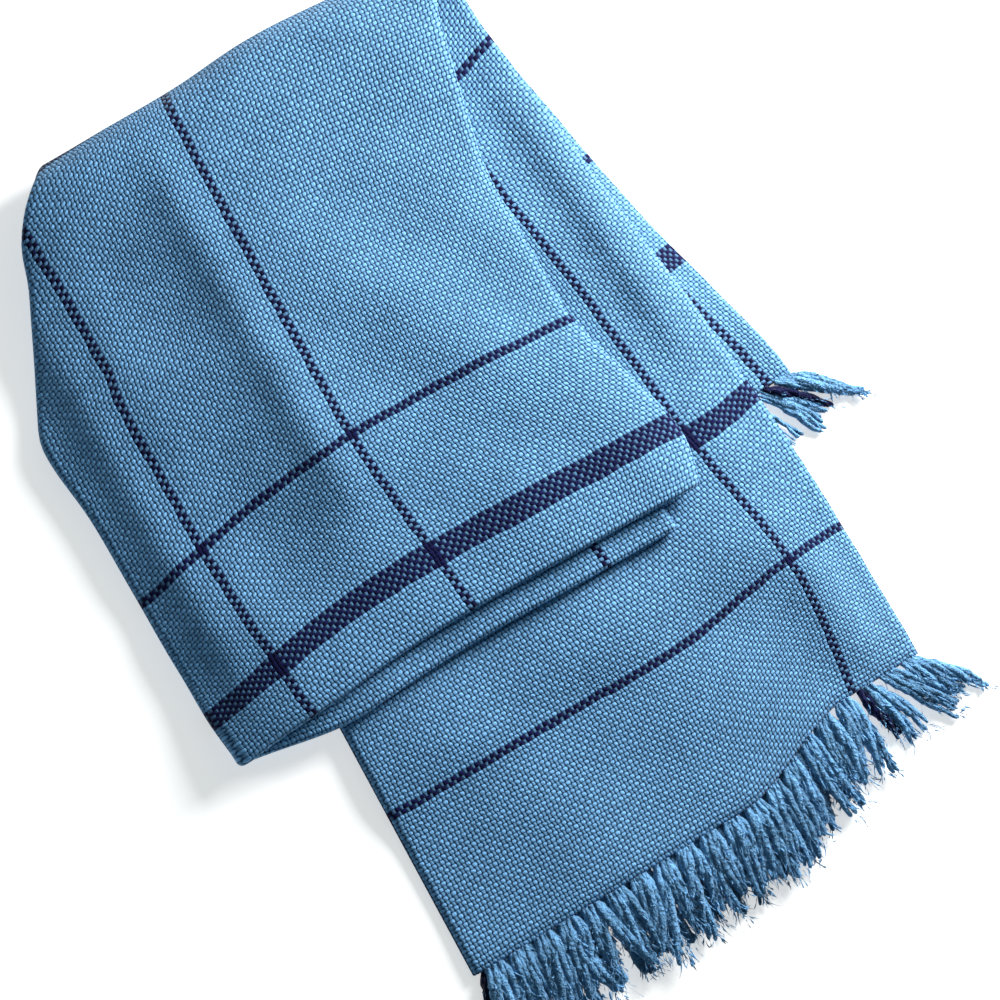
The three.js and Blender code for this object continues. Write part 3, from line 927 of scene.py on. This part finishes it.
@dataclass(frozen=True)
class WovenWool:
    """The finish of the plain-woven cloth."""

    wool: Wool = WOVEN
    # Painted shade: the weave's hollows between the threads get a dark blue for the shade that falls in them
    hollow_painted_shade: Colour = (0.003, 0.028, 0.095)
    hollow_shade_height: float = 0.34
    unshaded_crown_height: float = 0.93
    wander_scale: float = 60.0
    wander: float = 0.0032
    weft_bolder: float = 0.09
    dark_warp_bolder: float = 0.42
    dark_weft_bolder: float = 0.22
    stripe_dots: float = 0.45
    base_tone: float = 0.56
    thread_tone: float = 0.32
    # Painted shade: warp floats are darker than weft floats, as the light falls on them less
    warp_painted_shade: float = 0.7
    fleck_relief: float = 0.3

    def material(self, groups: WoolGroups) -> bpy.types.Material:
        """Makes the material, which reads the piece's own UV map as its flat place.

        Args:
            groups: The shared shader groups.

        Returns:
            The material.
        """
        material, nodes = new_material("woven_wool")
        light, dark, hollow_painted_shade = ((*colour, 1) for colour in (self.wool.light, self.wool.dark, self.hollow_painted_shade))
        place = nodes.add("ShaderNodeUVMap", uv_map="flat_cloth").outputs[0]
        noise = nodes.add("ShaderNodeTexNoise", {"Vector": place, "Scale": self.wander_scale, "Detail": 3.0})
        reach = (self.wander, self.wander, 0)
        strayed = nodes.vector("MULTIPLY_ADD", {0: nodes.about_zero(noise), 1: reach, 2: place})
        flat = nodes.vector("SCALE", {0: strayed, "Scale": 1 / MM})
        cloth_place = {"Flat": flat, "Pitch": THREAD_PITCH}
        stripes = nodes.group(groups.stripes, cloth_place)
        warp, weft = stripes["Dark warp"], stripes["Dark weft"]
        bolder = {
            "Warp bolder": nodes.math("MULTIPLY_ADD", warp, self.dark_warp_bolder, -self.weft_bolder),
            "Weft bolder": nodes.math("MULTIPLY_ADD", weft, self.dark_weft_bolder, self.weft_bolder),
        }
        weave = nodes.group(groups.weave, {**cloth_place, **bolder})
        weft_on_top = weave["Weft on top"]
        # Painted shade: low spots of the weave blend towards the dark hollow colour, and the crowns keep the
        # light dye
        depth = nodes.eased(weave["Height"], self.hollow_shade_height, self.unshaded_crown_height)
        dots = nodes.math("MULTIPLY", nodes.math("MAXIMUM", warp, weft), self.stripe_dots)
        dotted = nodes.blend(dots, nodes.blend(depth, hollow_painted_shade, light), dark)
        dyed = nodes.blend(nodes.between(weft_on_top, warp, weft), dotted, dark)
        fibre = self.wool.fibre(nodes, groups, place)
        base = nodes.math("MULTIPLY_ADD", weave["Shade"], self.thread_tone, self.base_tone)
        # Painted shade: the tone drops where a warp thread lies on top
        side = nodes.between(weft_on_top, self.warp_painted_shade, 1.0)
        tones = nodes.math("MULTIPLY", self.wool.tones(nodes, fibre, base), side)
        relief = nodes.math("MULTIPLY_ADD", fibre["Fleck"], self.fleck_relief, weave["Height"])
        self.wool.dress(nodes, dyed, tones, relief)
        return material


@dataclass(frozen=True)
class FringeWool:
    """The finish of the fringe's soft, hairy yarn."""

    wool: Wool = YARN
    base_tone: float = -0.1

    def material(self, groups: WoolGroups) -> bpy.types.Material:
        """Makes the material, which reads each strand's own tone, with its painted shade, and darkness.

        Args:
            groups: The shared shader groups.

        Returns:
            The material.
        """
        material, nodes = new_material("fringe_wool")
        place = nodes.add("ShaderNodeTexCoord").outputs["Object"]
        dark = nodes.add("ShaderNodeAttribute", attribute_name="dark").outputs["Fac"]
        tone_and_painted_shade = nodes.add("ShaderNodeAttribute", attribute_name="tone_and_painted_shade").outputs["Fac"]
        dyed = nodes.blend(dark, (*self.wool.light, 1), (*self.wool.dark, 1))
        fibre = self.wool.fibre(nodes, groups, place)
        # The strand's tone carries random variation and the fringe's painted shade
        tones = nodes.math("MULTIPLY", self.wool.tones(nodes, fibre, self.base_tone), tone_and_painted_shade)
        self.wool.dress(nodes, dyed, tones, fibre["Fleck"])
        return material


@dataclass
class Blanket:
    """The woven sheet in its folds, as one closed cloth with soft edges."""

    name: str = "folded_cloth"
    row_step: float = 7.5
    lane_step: float = 6.4
    turn_steps: int = 14
    rim_bulge: float = 0.8
    rim_seed: int = 5

    def rows(self) -> List[Row]:
        """The sheet's rows, from the near end through all the folds to the far end."""
        cloth = CLOTH
        reach = math.pi * cloth.top_fold_radius
        past_top = cloth.top_fold_at + reach
        over_count = math.ceil((cloth.mid_fold_at - past_top) / self.row_step)
        turn = np.arange(1, self.turn_steps) / self.turn_steps
        over = np.linspace(0, 1, over_count + 1)

        def under(start: float) -> Array:
            count = math.ceil((cloth.top_fold_at - start) / self.row_step)
            return np.linspace(start, cloth.top_fold_at, count)

        def bent(far: bool) -> List[Row]:
            turned = [Row(Run.TURN, far, cloth.top_fold_at + share * reach, share) for share in turn]
            beyond = [Row(Run.OVER, far, mix(past_top, cloth.mid_fold_at, share), share) for share in over]
            return turned + beyond

        mid = [Row(Run.MID, share >= 0.5, cloth.mid_fold_at, share) for share in turn]
        near = [Row(Run.UNDER, False, path) for path in under(0)] + bent(False)
        far = [Row(Run.UNDER, True, path) for path in under(cloth.far_end_at)] + bent(True)
        return near + mid + far[::-1]

    def lanes(self) -> List[Lane]:
        """The sheet's lanes, from the right selvedge round the side fold to the left one."""
        shares = np.arange(1, self.turn_steps) / self.turn_steps
        turn = [Lane(Part.TURN, share=share) for share in shares]
        return lanes_of(Part.RIGHT, self.lane_step) + turn + lanes_of(Part.LEFT, self.lane_step)

    @staticmethod
    def rim_of(rows: int, lanes: int) -> Array:
        """The grid's outer vertices in order round it, with the face on their left."""
        grid = np.arange(rows * lanes).reshape(rows, lanes)
        return np.concatenate([grid[0, ::-1], grid[1:, 0], grid[-1, 1:], grid[-2:0:-1, -1]])

    def build(self) -> bpy.types.Object:
        """Makes the cloth's mesh, with its flat place as its UV map.

        Returns:
            The cloth.
        """
        rows, lanes = self.rows(), self.lanes()
        half = CLOTH.thickness / 2
        layers = [CLOTH.fold(rows, lanes, offset)[0].reshape(-1, 3) for offset in (half, -half, 0.0)]
        flat = CLOTH.fold(rows, lanes, 0.0)[1].reshape(-1, 2)
        upper, lower, middle = layers
        count = len(upper)
        rim = self.rim_of(len(rows), len(lanes))
        along = np.roll(middle[rim], -1, axis=0) - np.roll(middle[rim], 1, axis=0)
        outward = np.cross(along, upper[rim] - lower[rim])
        outward /= np.maximum(np.linalg.norm(outward, axis=1, keepdims=True), 1e-9)
        rng = np.random.default_rng(self.rim_seed)
        bulge = self.rim_bulge * rng.uniform(0.5, 1.3, (len(rim), 1))
        spots = np.concatenate([upper, lower, middle[rim] + outward * bulge])

        grid = np.arange(count).reshape(len(rows), len(lanes))
        quads = np.stack([grid[:-1, 1:], grid[:-1, :-1], grid[1:, :-1], grid[1:, 1:]], -1).reshape(-1, 4)
        start, end = rim, np.roll(rim, -1)
        edge = 2 * count + np.arange(len(rim))
        next_edge = np.roll(edge, -1)
        faces = np.concatenate([
            quads,
            quads[:, ::-1] + count,
            np.stack([end, start, edge, next_edge], -1),
            np.stack([next_edge, edge, start + count, end + count], -1),
        ])
        piece = mesh_object(self.name, spots, faces.tolist())
        places = np.concatenate([flat, flat, flat[rim]]) * MM
        uv_map = piece.data.uv_layers.new(name="flat_cloth")
        corners = np.empty(len(piece.data.loops), dtype=np.int64)
        piece.data.loops.foreach_get("vertex_index", corners)
        uv_map.data.foreach_set("uv", places[corners].ravel())
        log.info("%s: %d rows by %d lanes", self.name, len(rows), len(lanes))
        return piece


@dataclass(frozen=True)
class Strand:
    """One soft yarn or hair: its middle line, its radius along it, its dye, and its tone with any painted
    shade.
    """

    line: Array
    radius: Array
    dark: float
    tone_and_painted_shade: float


LUMP_SIZE = 0.0045
LUMP_HEIGHT = 0.0035


def strand_tree() -> bpy.types.NodeTree:
    """Makes the Geometry Nodes tree that spins plain lines into closed, frayed and lumpy yarns.

    Returns:
        The tree, with inputs for the yarn's sides, its fraying, a seed and its material.
    """
    inputs = {"Lines": GEOMETRY, "Sides": "NodeSocketInt", "Fray": FLOAT, "Fray size": FLOAT,
              "Seed": FLOAT, "Wool": "NodeSocketMaterial"}
    nodes, given, result = new_group("spun strands", inputs, {"Yarns": GEOMETRY}, "GeometryNodeTree")
    loose, thick = (
        nodes.add("GeometryNodeInputNamedAttribute", {"Name": name}, data_type="FLOAT").outputs[0]
        for name in ("loose", "thick")
    )

    # Fraying: each line wanders a little, more towards its free end and less up and down
    wandering = {"W": given["Seed"], "Scale": nodes.math("DIVIDE", 1.0, given["Fray size"]), "Detail": 1.0}
    noise = nodes.add("ShaderNodeTexNoise", wandering, noise_dimensions="4D")
    flat = nodes.vector("MULTIPLY", {0: nodes.about_zero(noise), 1: (1, 1, 0.2)})
    reach = nodes.math("MULTIPLY", given["Fray"], loose)
    stray = nodes.vector("SCALE", {0: flat, "Scale": reach})
    moved = nodes.add("GeometryNodeSetPosition", {"Geometry": given["Lines"], "Offset": stray})

    curves = nodes.add("GeometryNodeMeshToCurve", {0: moved.outputs[0]})
    ring = nodes.add("GeometryNodeCurvePrimitiveCircle", {"Resolution": given["Sides"], "Radius": 1.0})
    sweep = {"Curve": curves.outputs[0], "Profile Curve": ring.outputs[0], "Scale": thick, "Fill Caps": True}
    tubes = nodes.add("GeometryNodeCurveToMesh", sweep)

    # Felting: the yarn swells and shrinks in lumps
    lumps = nodes.add("ShaderNodeTexNoise", {"Scale": 1 / LUMP_SIZE, "Detail": 2.0}).outputs[0]
    swollen = nodes.math("MULTIPLY", nodes.math("SUBTRACT", lumps, 0.5), LUMP_HEIGHT)
    outward = nodes.add("GeometryNodeInputNormal").outputs[0]
    push = nodes.vector("SCALE", {0: outward, "Scale": swollen})
    felted = nodes.add("GeometryNodeSetPosition", {"Geometry": tubes.outputs[0], "Offset": push})
    soft = nodes.add("GeometryNodeSetShadeSmooth", {"Geometry": felted.outputs[0]})
    real = nodes.add("GeometryNodeRealizeInstances", {0: soft.outputs[0]})
    dressed = nodes.add("GeometryNodeSetMaterial", {"Geometry": real.outputs[0], "Material": given["Wool"]})
    nodes.put(result["Yarns"], dressed.outputs[0])
    return nodes.tree


class Lie(Enum):
    """How a fringe lies: free on the floor or on another layer, or pressed between two layers."""

    FREE = "free"
    PRESSED = "pressed"


@dataclass(frozen=True)
class Edge:
    """The cloth's edge that a fringe grows from: its spots, and their flat distances across."""

    flat: Array
    spots: Array

    def place(self, at: float) -> Array:
        """The spot at a flat distance across."""
        return np.array([np.interp(at, self.flat, self.spots[:, axis]) for axis in range(3)])


@dataclass(frozen=True)
class Lock:
    """A lock of a fringe, along its line: the ring that its plies lie on, their radius and their ends."""

    line: Array
    share: Array
    ring: Array
    radius: Array
    blunt: Array
    flatness: float
    pressed: bool
    dark: float


@dataclass
class Fringe:
    """The bunched warp ends along one part of one end of the cloth, in millimetres."""

    name: str
    node: str
    row: Row
    part: Part
    seed: int
    corner_lean: float
    lean_from: float
    lie: Lie = Lie.FREE
    phase: float = 0.5
    locks: int = 3
    # Below 1 this is painted shade: the whole fringe is darkened
    tone_and_painted_shade: float = 1.0
    lean_reach: float = 80
    bunch_lean: float = 0.07
    lock_lean: float = 0.06
    hidden_to: float = 384
    edge_step: float = 6
    edge_margin: float = 2
    bunch_pitch: float = 19.1
    length: float = 64
    lengths: Tuple[float, float] = (0.74, 1.04)
    plies: int = 3
    steps: int = 26
    tip_from: float = 0.95
    tip_reach: float = 0.055
    last_step: float = 0.98
    ply_radius: float = 2.9
    lock_radius: float = 2.2
    free_flatness: float = 0.66
    pressed_flatness: float = 0.3
    pressed_swell: float = 0.42
    root_swell: float = 0.55
    tip_swell: float = 0.62
    root_spread: float = 0.7
    tip_spread: float = 1.0
    hairs: int = 42
    hair_points: int = 4
    hair_clearance: float = 0.3
    floor_clearance: float = 0.85
    inside_side_fold: float = 11
    sides: int = 6
    fray_size: float = 0.014
    free_fray: float = 0.006
    pressed_fray: float = 0.001

    def edge(self) -> Edge:
        """The cloth's edge that the fringe grows from."""
        spots, flat = CLOTH.fold([self.row], lanes_of(self.part, self.edge_step), 0.0)
        return Edge(flat[0, :, 0], spots[0])

    def strands(self) -> List[Strand]:
        """Works out every ply and hair of the fringe.

        Returns:
            The strands.
        """
        edge = self.edge()
        rng = np.random.default_rng(self.seed)
        width = edge.flat[-1] - edge.flat[0]
        count = round(width / self.bunch_pitch)
        pitch = width / count
        made: List[Strand] = []
        for bunch in range(count):
            middle = edge.flat[0] + (bunch + self.phase) * pitch
            lean = rng.normal(0, self.bunch_lean)
            for index in range(self.locks):
                lock = self.lock(edge, middle, pitch, index, lean, rng)
                made += self.plies_of(lock, rng)
                made += [self.hair(lock, rng) for _ in range(0 if lock.pressed else self.hairs)]
        return made

    def lock(self, edge: Edge, middle: float, pitch: float, index: int, lean: float,
             rng: np.random.Generator) -> Lock:
        """Works out one lock of a bunch.

        Args:
            edge: The cloth's edge.
            middle: The flat distance of the bunch's middle.
            pitch: The distance between bunches.
            index: Which lock of the bunch it is.
            lean: How far the bunch leans, as a slope.
            rng: The source of chance.

        Returns:
            The lock.
        """
        side = (index + 0.5) / self.locks - 0.5
        first, last = edge.flat[0] + self.edge_margin, edge.flat[-1] - self.edge_margin
        root = edge.place(np.clip(middle + side * pitch * self.root_spread, first, last))
        across = np.sign(edge.spots[-1, 0] - edge.spots[0, 0])
        pressed = self.lie is Lie.PRESSED and root[0] < self.hidden_to
        flatness = self.pressed_flatness if pressed else self.free_flatness
        leaning = self.corner_lean * smooth((root[0] - self.lean_from) / self.lean_reach)
        angle = math.atan(leaning + lean + rng.normal(0, self.lock_lean))
        length = self.length * rng.uniform(*self.lengths)
        share = np.append(np.linspace(0, self.tip_from, self.steps - 2), [self.last_step, 1.0])
        blunt = np.sqrt(1 - np.clip((share - self.tip_from) / self.tip_reach, 0, 1) ** 2)
        fan = across * side * pitch * (self.tip_spread - self.root_spread)
        fan_out = fan * smooth(share / rng.uniform(0.45, 0.8)) * rng.uniform(0.6, 1.25)
        bend = rng.normal(0, 2.6) * share**2 * 1.6 + rng.normal(0, 1.0) * np.sin(share * math.pi * 1.5)
        x = root[0] + fan_out + math.sin(angle) * length * share + bend
        if pressed:
            x = np.maximum(x, self.inside_side_fold)
        y = root[1] - 0.2 - math.cos(angle) * length * share
        swell = mix(self.pressed_swell, 1.0, smooth((x - self.hidden_to) / 14)) if pressed else 1.0
        past_root = mix(self.root_swell, 1.0, smooth(share / 0.2))
        body = past_root * mix(1.0, self.tip_swell, smooth((share - 0.55) / 0.45))
        radius = self.ply_radius * swell * rng.uniform(0.85, 1.15) * body
        ring = self.lock_radius * swell * body
        z = self.resting_height(root, x, share, radius + ring * flatness * 0.8, pressed)
        stripes = [math.floor((at - middle) / pitch * self.locks + self.locks / 2)
                   for at in CLOTH.warp_stripes_at]
        dark = 1.0 if index in stripes else 0.0
        return Lock(np.stack([x, y, z], axis=1), share, ring, radius, blunt, flatness, pressed, dark)

    def resting_height(self, root: Array, x: Array, share: Array, rest: Array, pressed: bool) -> Array:
        """The height of a lock's middle line as it lies on what is under it.

        Args:
            root: The lock's root on the cloth's edge.
            x: The X of the line.
            share: The share of the way from root to tip.
            rest: Half the lock's thickness along it.
            pressed: Whether the lock is pressed between two layers.

        Returns:
            The height of each point of the line.
        """
        if pressed:
            falls = smooth((x - self.hidden_to) / 20)
            return mix(root[2], np.maximum(rest + 0.3, 0.6), falls)
        past_edge = smooth((x - CLOTH.lower_edge_x + 10) / 30)
        under = (root[2] - CLOTH.thickness / 2) * (1 - past_edge)
        lying = under + rest + 0.15
        return mix(root[2], lying, smooth(share / 0.25))

    def plies_of(self, lock: Lock, rng: np.random.Generator) -> List[Strand]:
        """Works out the plies that a lock is twisted from, which open at its tip.

        Args:
            lock: The lock.
            rng: The source of chance.

        Returns:
            The plies.
        """
        twist = rng.uniform(0.3, 1.0) * 2 * math.pi * lock.share + rng.uniform(0, 2 * math.pi)
        root_y = lock.line[0, 1]
        plies = []
        for ply in range(self.plies):
            phase = twist + ply * 2 * math.pi / self.plies
            spread = mix(1.0, rng.uniform(1.2, 2.1), smooth((lock.share - 0.6) / 0.4))
            out, up = np.cos(phase) * spread, np.sin(phase) * lock.flatness
            offset = np.stack([out, np.zeros_like(phase), up], axis=1)
            end = rng.uniform(0.86, 1.0)
            place = lock.line + offset * lock.ring[:, None]
            place[:, 1] = root_y + (lock.line[:, 1] - root_y) * end
            place[:, 2] = np.maximum(place[:, 2], lock.radius + self.floor_clearance)
            tone_and_painted_shade = self.tone_and_painted_shade * rng.uniform(0.75, 1.15)
            plies.append(Strand(place, lock.radius * lock.blunt, lock.dark, tone_and_painted_shade))
        return plies

    def hair(self, lock: Lock, rng: np.random.Generator) -> Strand:
        """A thin fibre that stands out of a lock.

        Args:
            lock: The lock.
            rng: The source of chance.

        Returns:
            The hair.
        """
        line = lock.line
        at = rng.integers(1, len(line) - 1)
        angle = rng.uniform(0, 2 * math.pi)
        out = np.array([math.cos(angle), rng.uniform(-0.9, 0.1), abs(math.sin(angle)) * lock.flatness])
        along = (line[at + 1] - line[at]) / max(np.linalg.norm(line[at + 1] - line[at]), 1e-6)
        start = line[at] + out * np.array([1, 0, 1]) * (lock.ring + lock.radius)[at] * 0.8
        length = rng.uniform(3, 9)
        share = np.linspace(0, 1, self.hair_points)[:, None]
        curl = rng.normal(0, 1, 3) * np.array([1, 1, 0.3])
        place = start + (along * 0.8 + out * 0.5) * length * share + curl * share**2 * length * 0.25
        place[:, 2] = np.maximum(place[:, 2], self.hair_clearance + self.floor_clearance)
        radius = np.linspace(0.2, 0.06, self.hair_points)
        return Strand(place, radius, 0.0, self.tone_and_painted_shade * rng.uniform(1.0, 1.3))

    def lines(self, strands: Sequence[Strand]) -> bpy.types.Object:
        """Makes the strands' middle lines, with each point's thickness, dye, tone with painted shade, and
        looseness.

        Args:
            strands: The strands.

        Returns:
            The lines, as one object.
        """
        name = self.name + "_lines"
        counts = [len(strand.line) for strand in strands]
        starts = np.cumsum([0] + counts[:-1])
        edges = [(start + i, start + i + 1) for start, count in zip(starts, counts) for i in range(count - 1)]
        spots = np.concatenate([strand.line for strand in strands])
        mesh = bpy.data.meshes.new(name)
        mesh.from_pydata(((spots + frame_origin()) * MM).tolist(), edges, [])
        values = {
            "thick": np.concatenate([strand.radius for strand in strands]) * MM,
            "dark": np.repeat([strand.dark for strand in strands], counts),
            "tone_and_painted_shade": np.repeat([strand.tone_and_painted_shade for strand in strands], counts),
            "loose": np.concatenate([np.linspace(0, 1, count) for count in counts]),
        }
        for label, data in values.items():
            mesh.attributes.new(label, "FLOAT", "POINT").data.foreach_set("value", data.astype(np.float32))
        return link(name, mesh)

    def build(self, tree: bpy.types.NodeTree, wool: bpy.types.Material) -> bpy.types.Object:
        """Spins the strands into one mesh.

        Args:
            tree: The Geometry Nodes tree that spins lines into yarns.
            wool: The yarns' material.

        Returns:
            The fringe.
        """
        strands = self.strands()
        lines = self.lines(strands)
        modifier = lines.modifiers.new("spin", "NODES")
        modifier.node_group = tree
        fray = self.free_fray if self.lie is Lie.FREE else self.pressed_fray
        inputs = {"Sides": self.sides, "Fray": fray, "Fray size": self.fray_size,
                  "Seed": float(self.seed), "Wool": wool}
        for item in tree.interface.items_tree:
            if item.name in inputs:
                modifier[item.identifier] = inputs[item.name]
        lines.update_tag()
        graph = bpy.context.evaluated_depsgraph_get()
        spun = bpy.data.meshes.new_from_object(lines.evaluated_get(graph))
        spun.name = self.name
        piece = link(self.name, spun)
        lines.modifiers.remove(modifier)
        bpy.data.objects.remove(lines)
        log.info("%s: %d strands, %d faces", self.name, len(strands), len(spun.polygons))
        return piece


@dataclass(frozen=True)
class Lamp:
    """A square area light that points at the frame's origin, in metres and watts."""

    name: str
    place: Tuple[float, float, float]
    size: float
    power: float


@dataclass
class Setting:
    """The pale floor, the soft light and the camera, in metres."""

    camera_place: Tuple[float, float, float] = (7.59, 20.68, 905.28)
    camera_right: Tuple[float, float, float] = (0.86556, -0.48416, 0.12807)
    camera_up: Tuple[float, float, float] = (0.46725, 0.87274, 0.14145)
    camera_back: Tuple[float, float, float] = (-0.18025, -0.06259, 0.98163)
    lens: float = 46.8
    sensor: float = 36.0
    floor_size: float = 6.0
    floor_depth: float = 0.0004
    floor_colour: Colour = (0.9, 0.885, 0.865)
    floor_paler: float = 1.04
    floor_glow: float = 0.62
    lamps: Tuple[Lamp, ...] = (
        Lamp("key", (1.06, 0.325, 0.5), 0.5, 41.0),
        Lamp("fill", (0.6, 0.8, 1.0), 1.0, 2.0),
    )
    room_colour: Colour = (0.5, 0.82, 1.0)
    room_strength: float = 0.15

    def camera(self) -> None:
        """Adds the camera at the photograph's place, which is given in the plan's millimetres."""
        data = bpy.data.cameras.new("camera")
        data.lens = self.lens
        data.sensor_width = self.sensor
        data.clip_start = 0.01
        eye = link("camera", data)
        turn = Matrix((self.camera_right, self.camera_up, self.camera_back)).transposed().to_4x4()
        place = Vector((np.array(self.camera_place) + frame_origin()) * MM)
        eye.matrix_world = Matrix.Translation(place) @ turn
        bpy.context.scene.camera = eye

    def floor(self) -> None:
        """Adds the floor."""
        half = self.floor_size / 2
        corners = [(x * half, y * half, -self.floor_depth) for x, y in ((-1, -1), (1, -1), (1, 1), (-1, 1))]
        mesh = bpy.data.meshes.new("floor")
        mesh.from_pydata(corners, [], [(0, 1, 2, 3)])
        floor = link("floor", mesh)
        material, nodes = new_material("pale_floor")
        shader = material.node_tree.nodes["Principled BSDF"]
        place = nodes.add("ShaderNodeTexCoord").outputs["Object"]
        noise = nodes.add("ShaderNodeTexNoise", {"Vector": place, "Scale": 9.0, "Detail": 4.0}).outputs[0]
        paler = tuple(min(channel * self.floor_paler, 1.0) for channel in self.floor_colour)
        colour = nodes.blend(noise, (*self.floor_colour, 1), (*paler, 1))
        nodes.put(shader.inputs["Base Color"], colour)
        nodes.put(shader.inputs["Emission Color"], colour)
        nodes.put(shader.inputs["Emission Strength"], self.floor_glow)
        nodes.put(shader.inputs["Roughness"], 0.8)
        mesh.materials.append(material)

    def lights(self) -> None:
        """Adds a soft key light from the right, a weak fill and a pale surrounding."""
        for lamp in self.lamps:
            data = bpy.data.lights.new(lamp.name, "AREA")
            data.size = lamp.size
            data.energy = lamp.power
            light = link(lamp.name, data)
            light.location = lamp.place
            light.rotation_euler = (-Vector(lamp.place)).to_track_quat("-Z", "Y").to_euler()
        world = bpy.data.worlds.new("pale_room")
        world.use_nodes = True
        sky = world.node_tree.nodes["Background"]
        sky.inputs["Color"].default_value = (*self.room_colour, 1)
        sky.inputs["Strength"].default_value = self.room_strength
        bpy.context.scene.world = world
        bpy.context.scene.view_settings.view_transform = "Standard"


def main() -> None:
    """Builds the blanket, its four fringes and their setting, and reports each piece."""
    logging.basicConfig(level=logging.INFO, format="%(name)s: %(message)s")
    setting = Setting()
    setting.camera()
    setting.floor()
    setting.lights()

    groups = make_groups()
    cloth = Blanket().build()
    cloth.data.materials.append(WovenWool().material(groups))
    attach(cloth, "root")
    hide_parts("blanket")

    wool = FringeWool().material(groups)
    tree = strand_tree()
    fringes = [
        Fringe("fringe_near_top", "fringe_near_upper", NEAR_END, Part.RIGHT, 21, 0.72, 290),
        # Painted shade: the lower near fringe is darkened for the shadow that the upper fringe casts on it
        Fringe("fringe_near_floor", "fringe_near_lower", NEAR_END, Part.LEFT, 22, 0.1, 290,
               tone_and_painted_shade=0.55, phase=0.1),
        Fringe("fringe_far_top", "fringe_far_upper", FAR_END, Part.RIGHT, 23, 1.2, 318,
               Lie.PRESSED, locks=4),
        Fringe("fringe_far_floor", "fringe_far_lower", FAR_END, Part.LEFT, 24, 0.0, 330, Lie.PRESSED),
    ]
    for fringe in fringes:
        piece = fringe.build(tree, wool)
        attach(piece, "root")
        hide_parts(fringe.node)


if __name__ == "__main__":
    main()
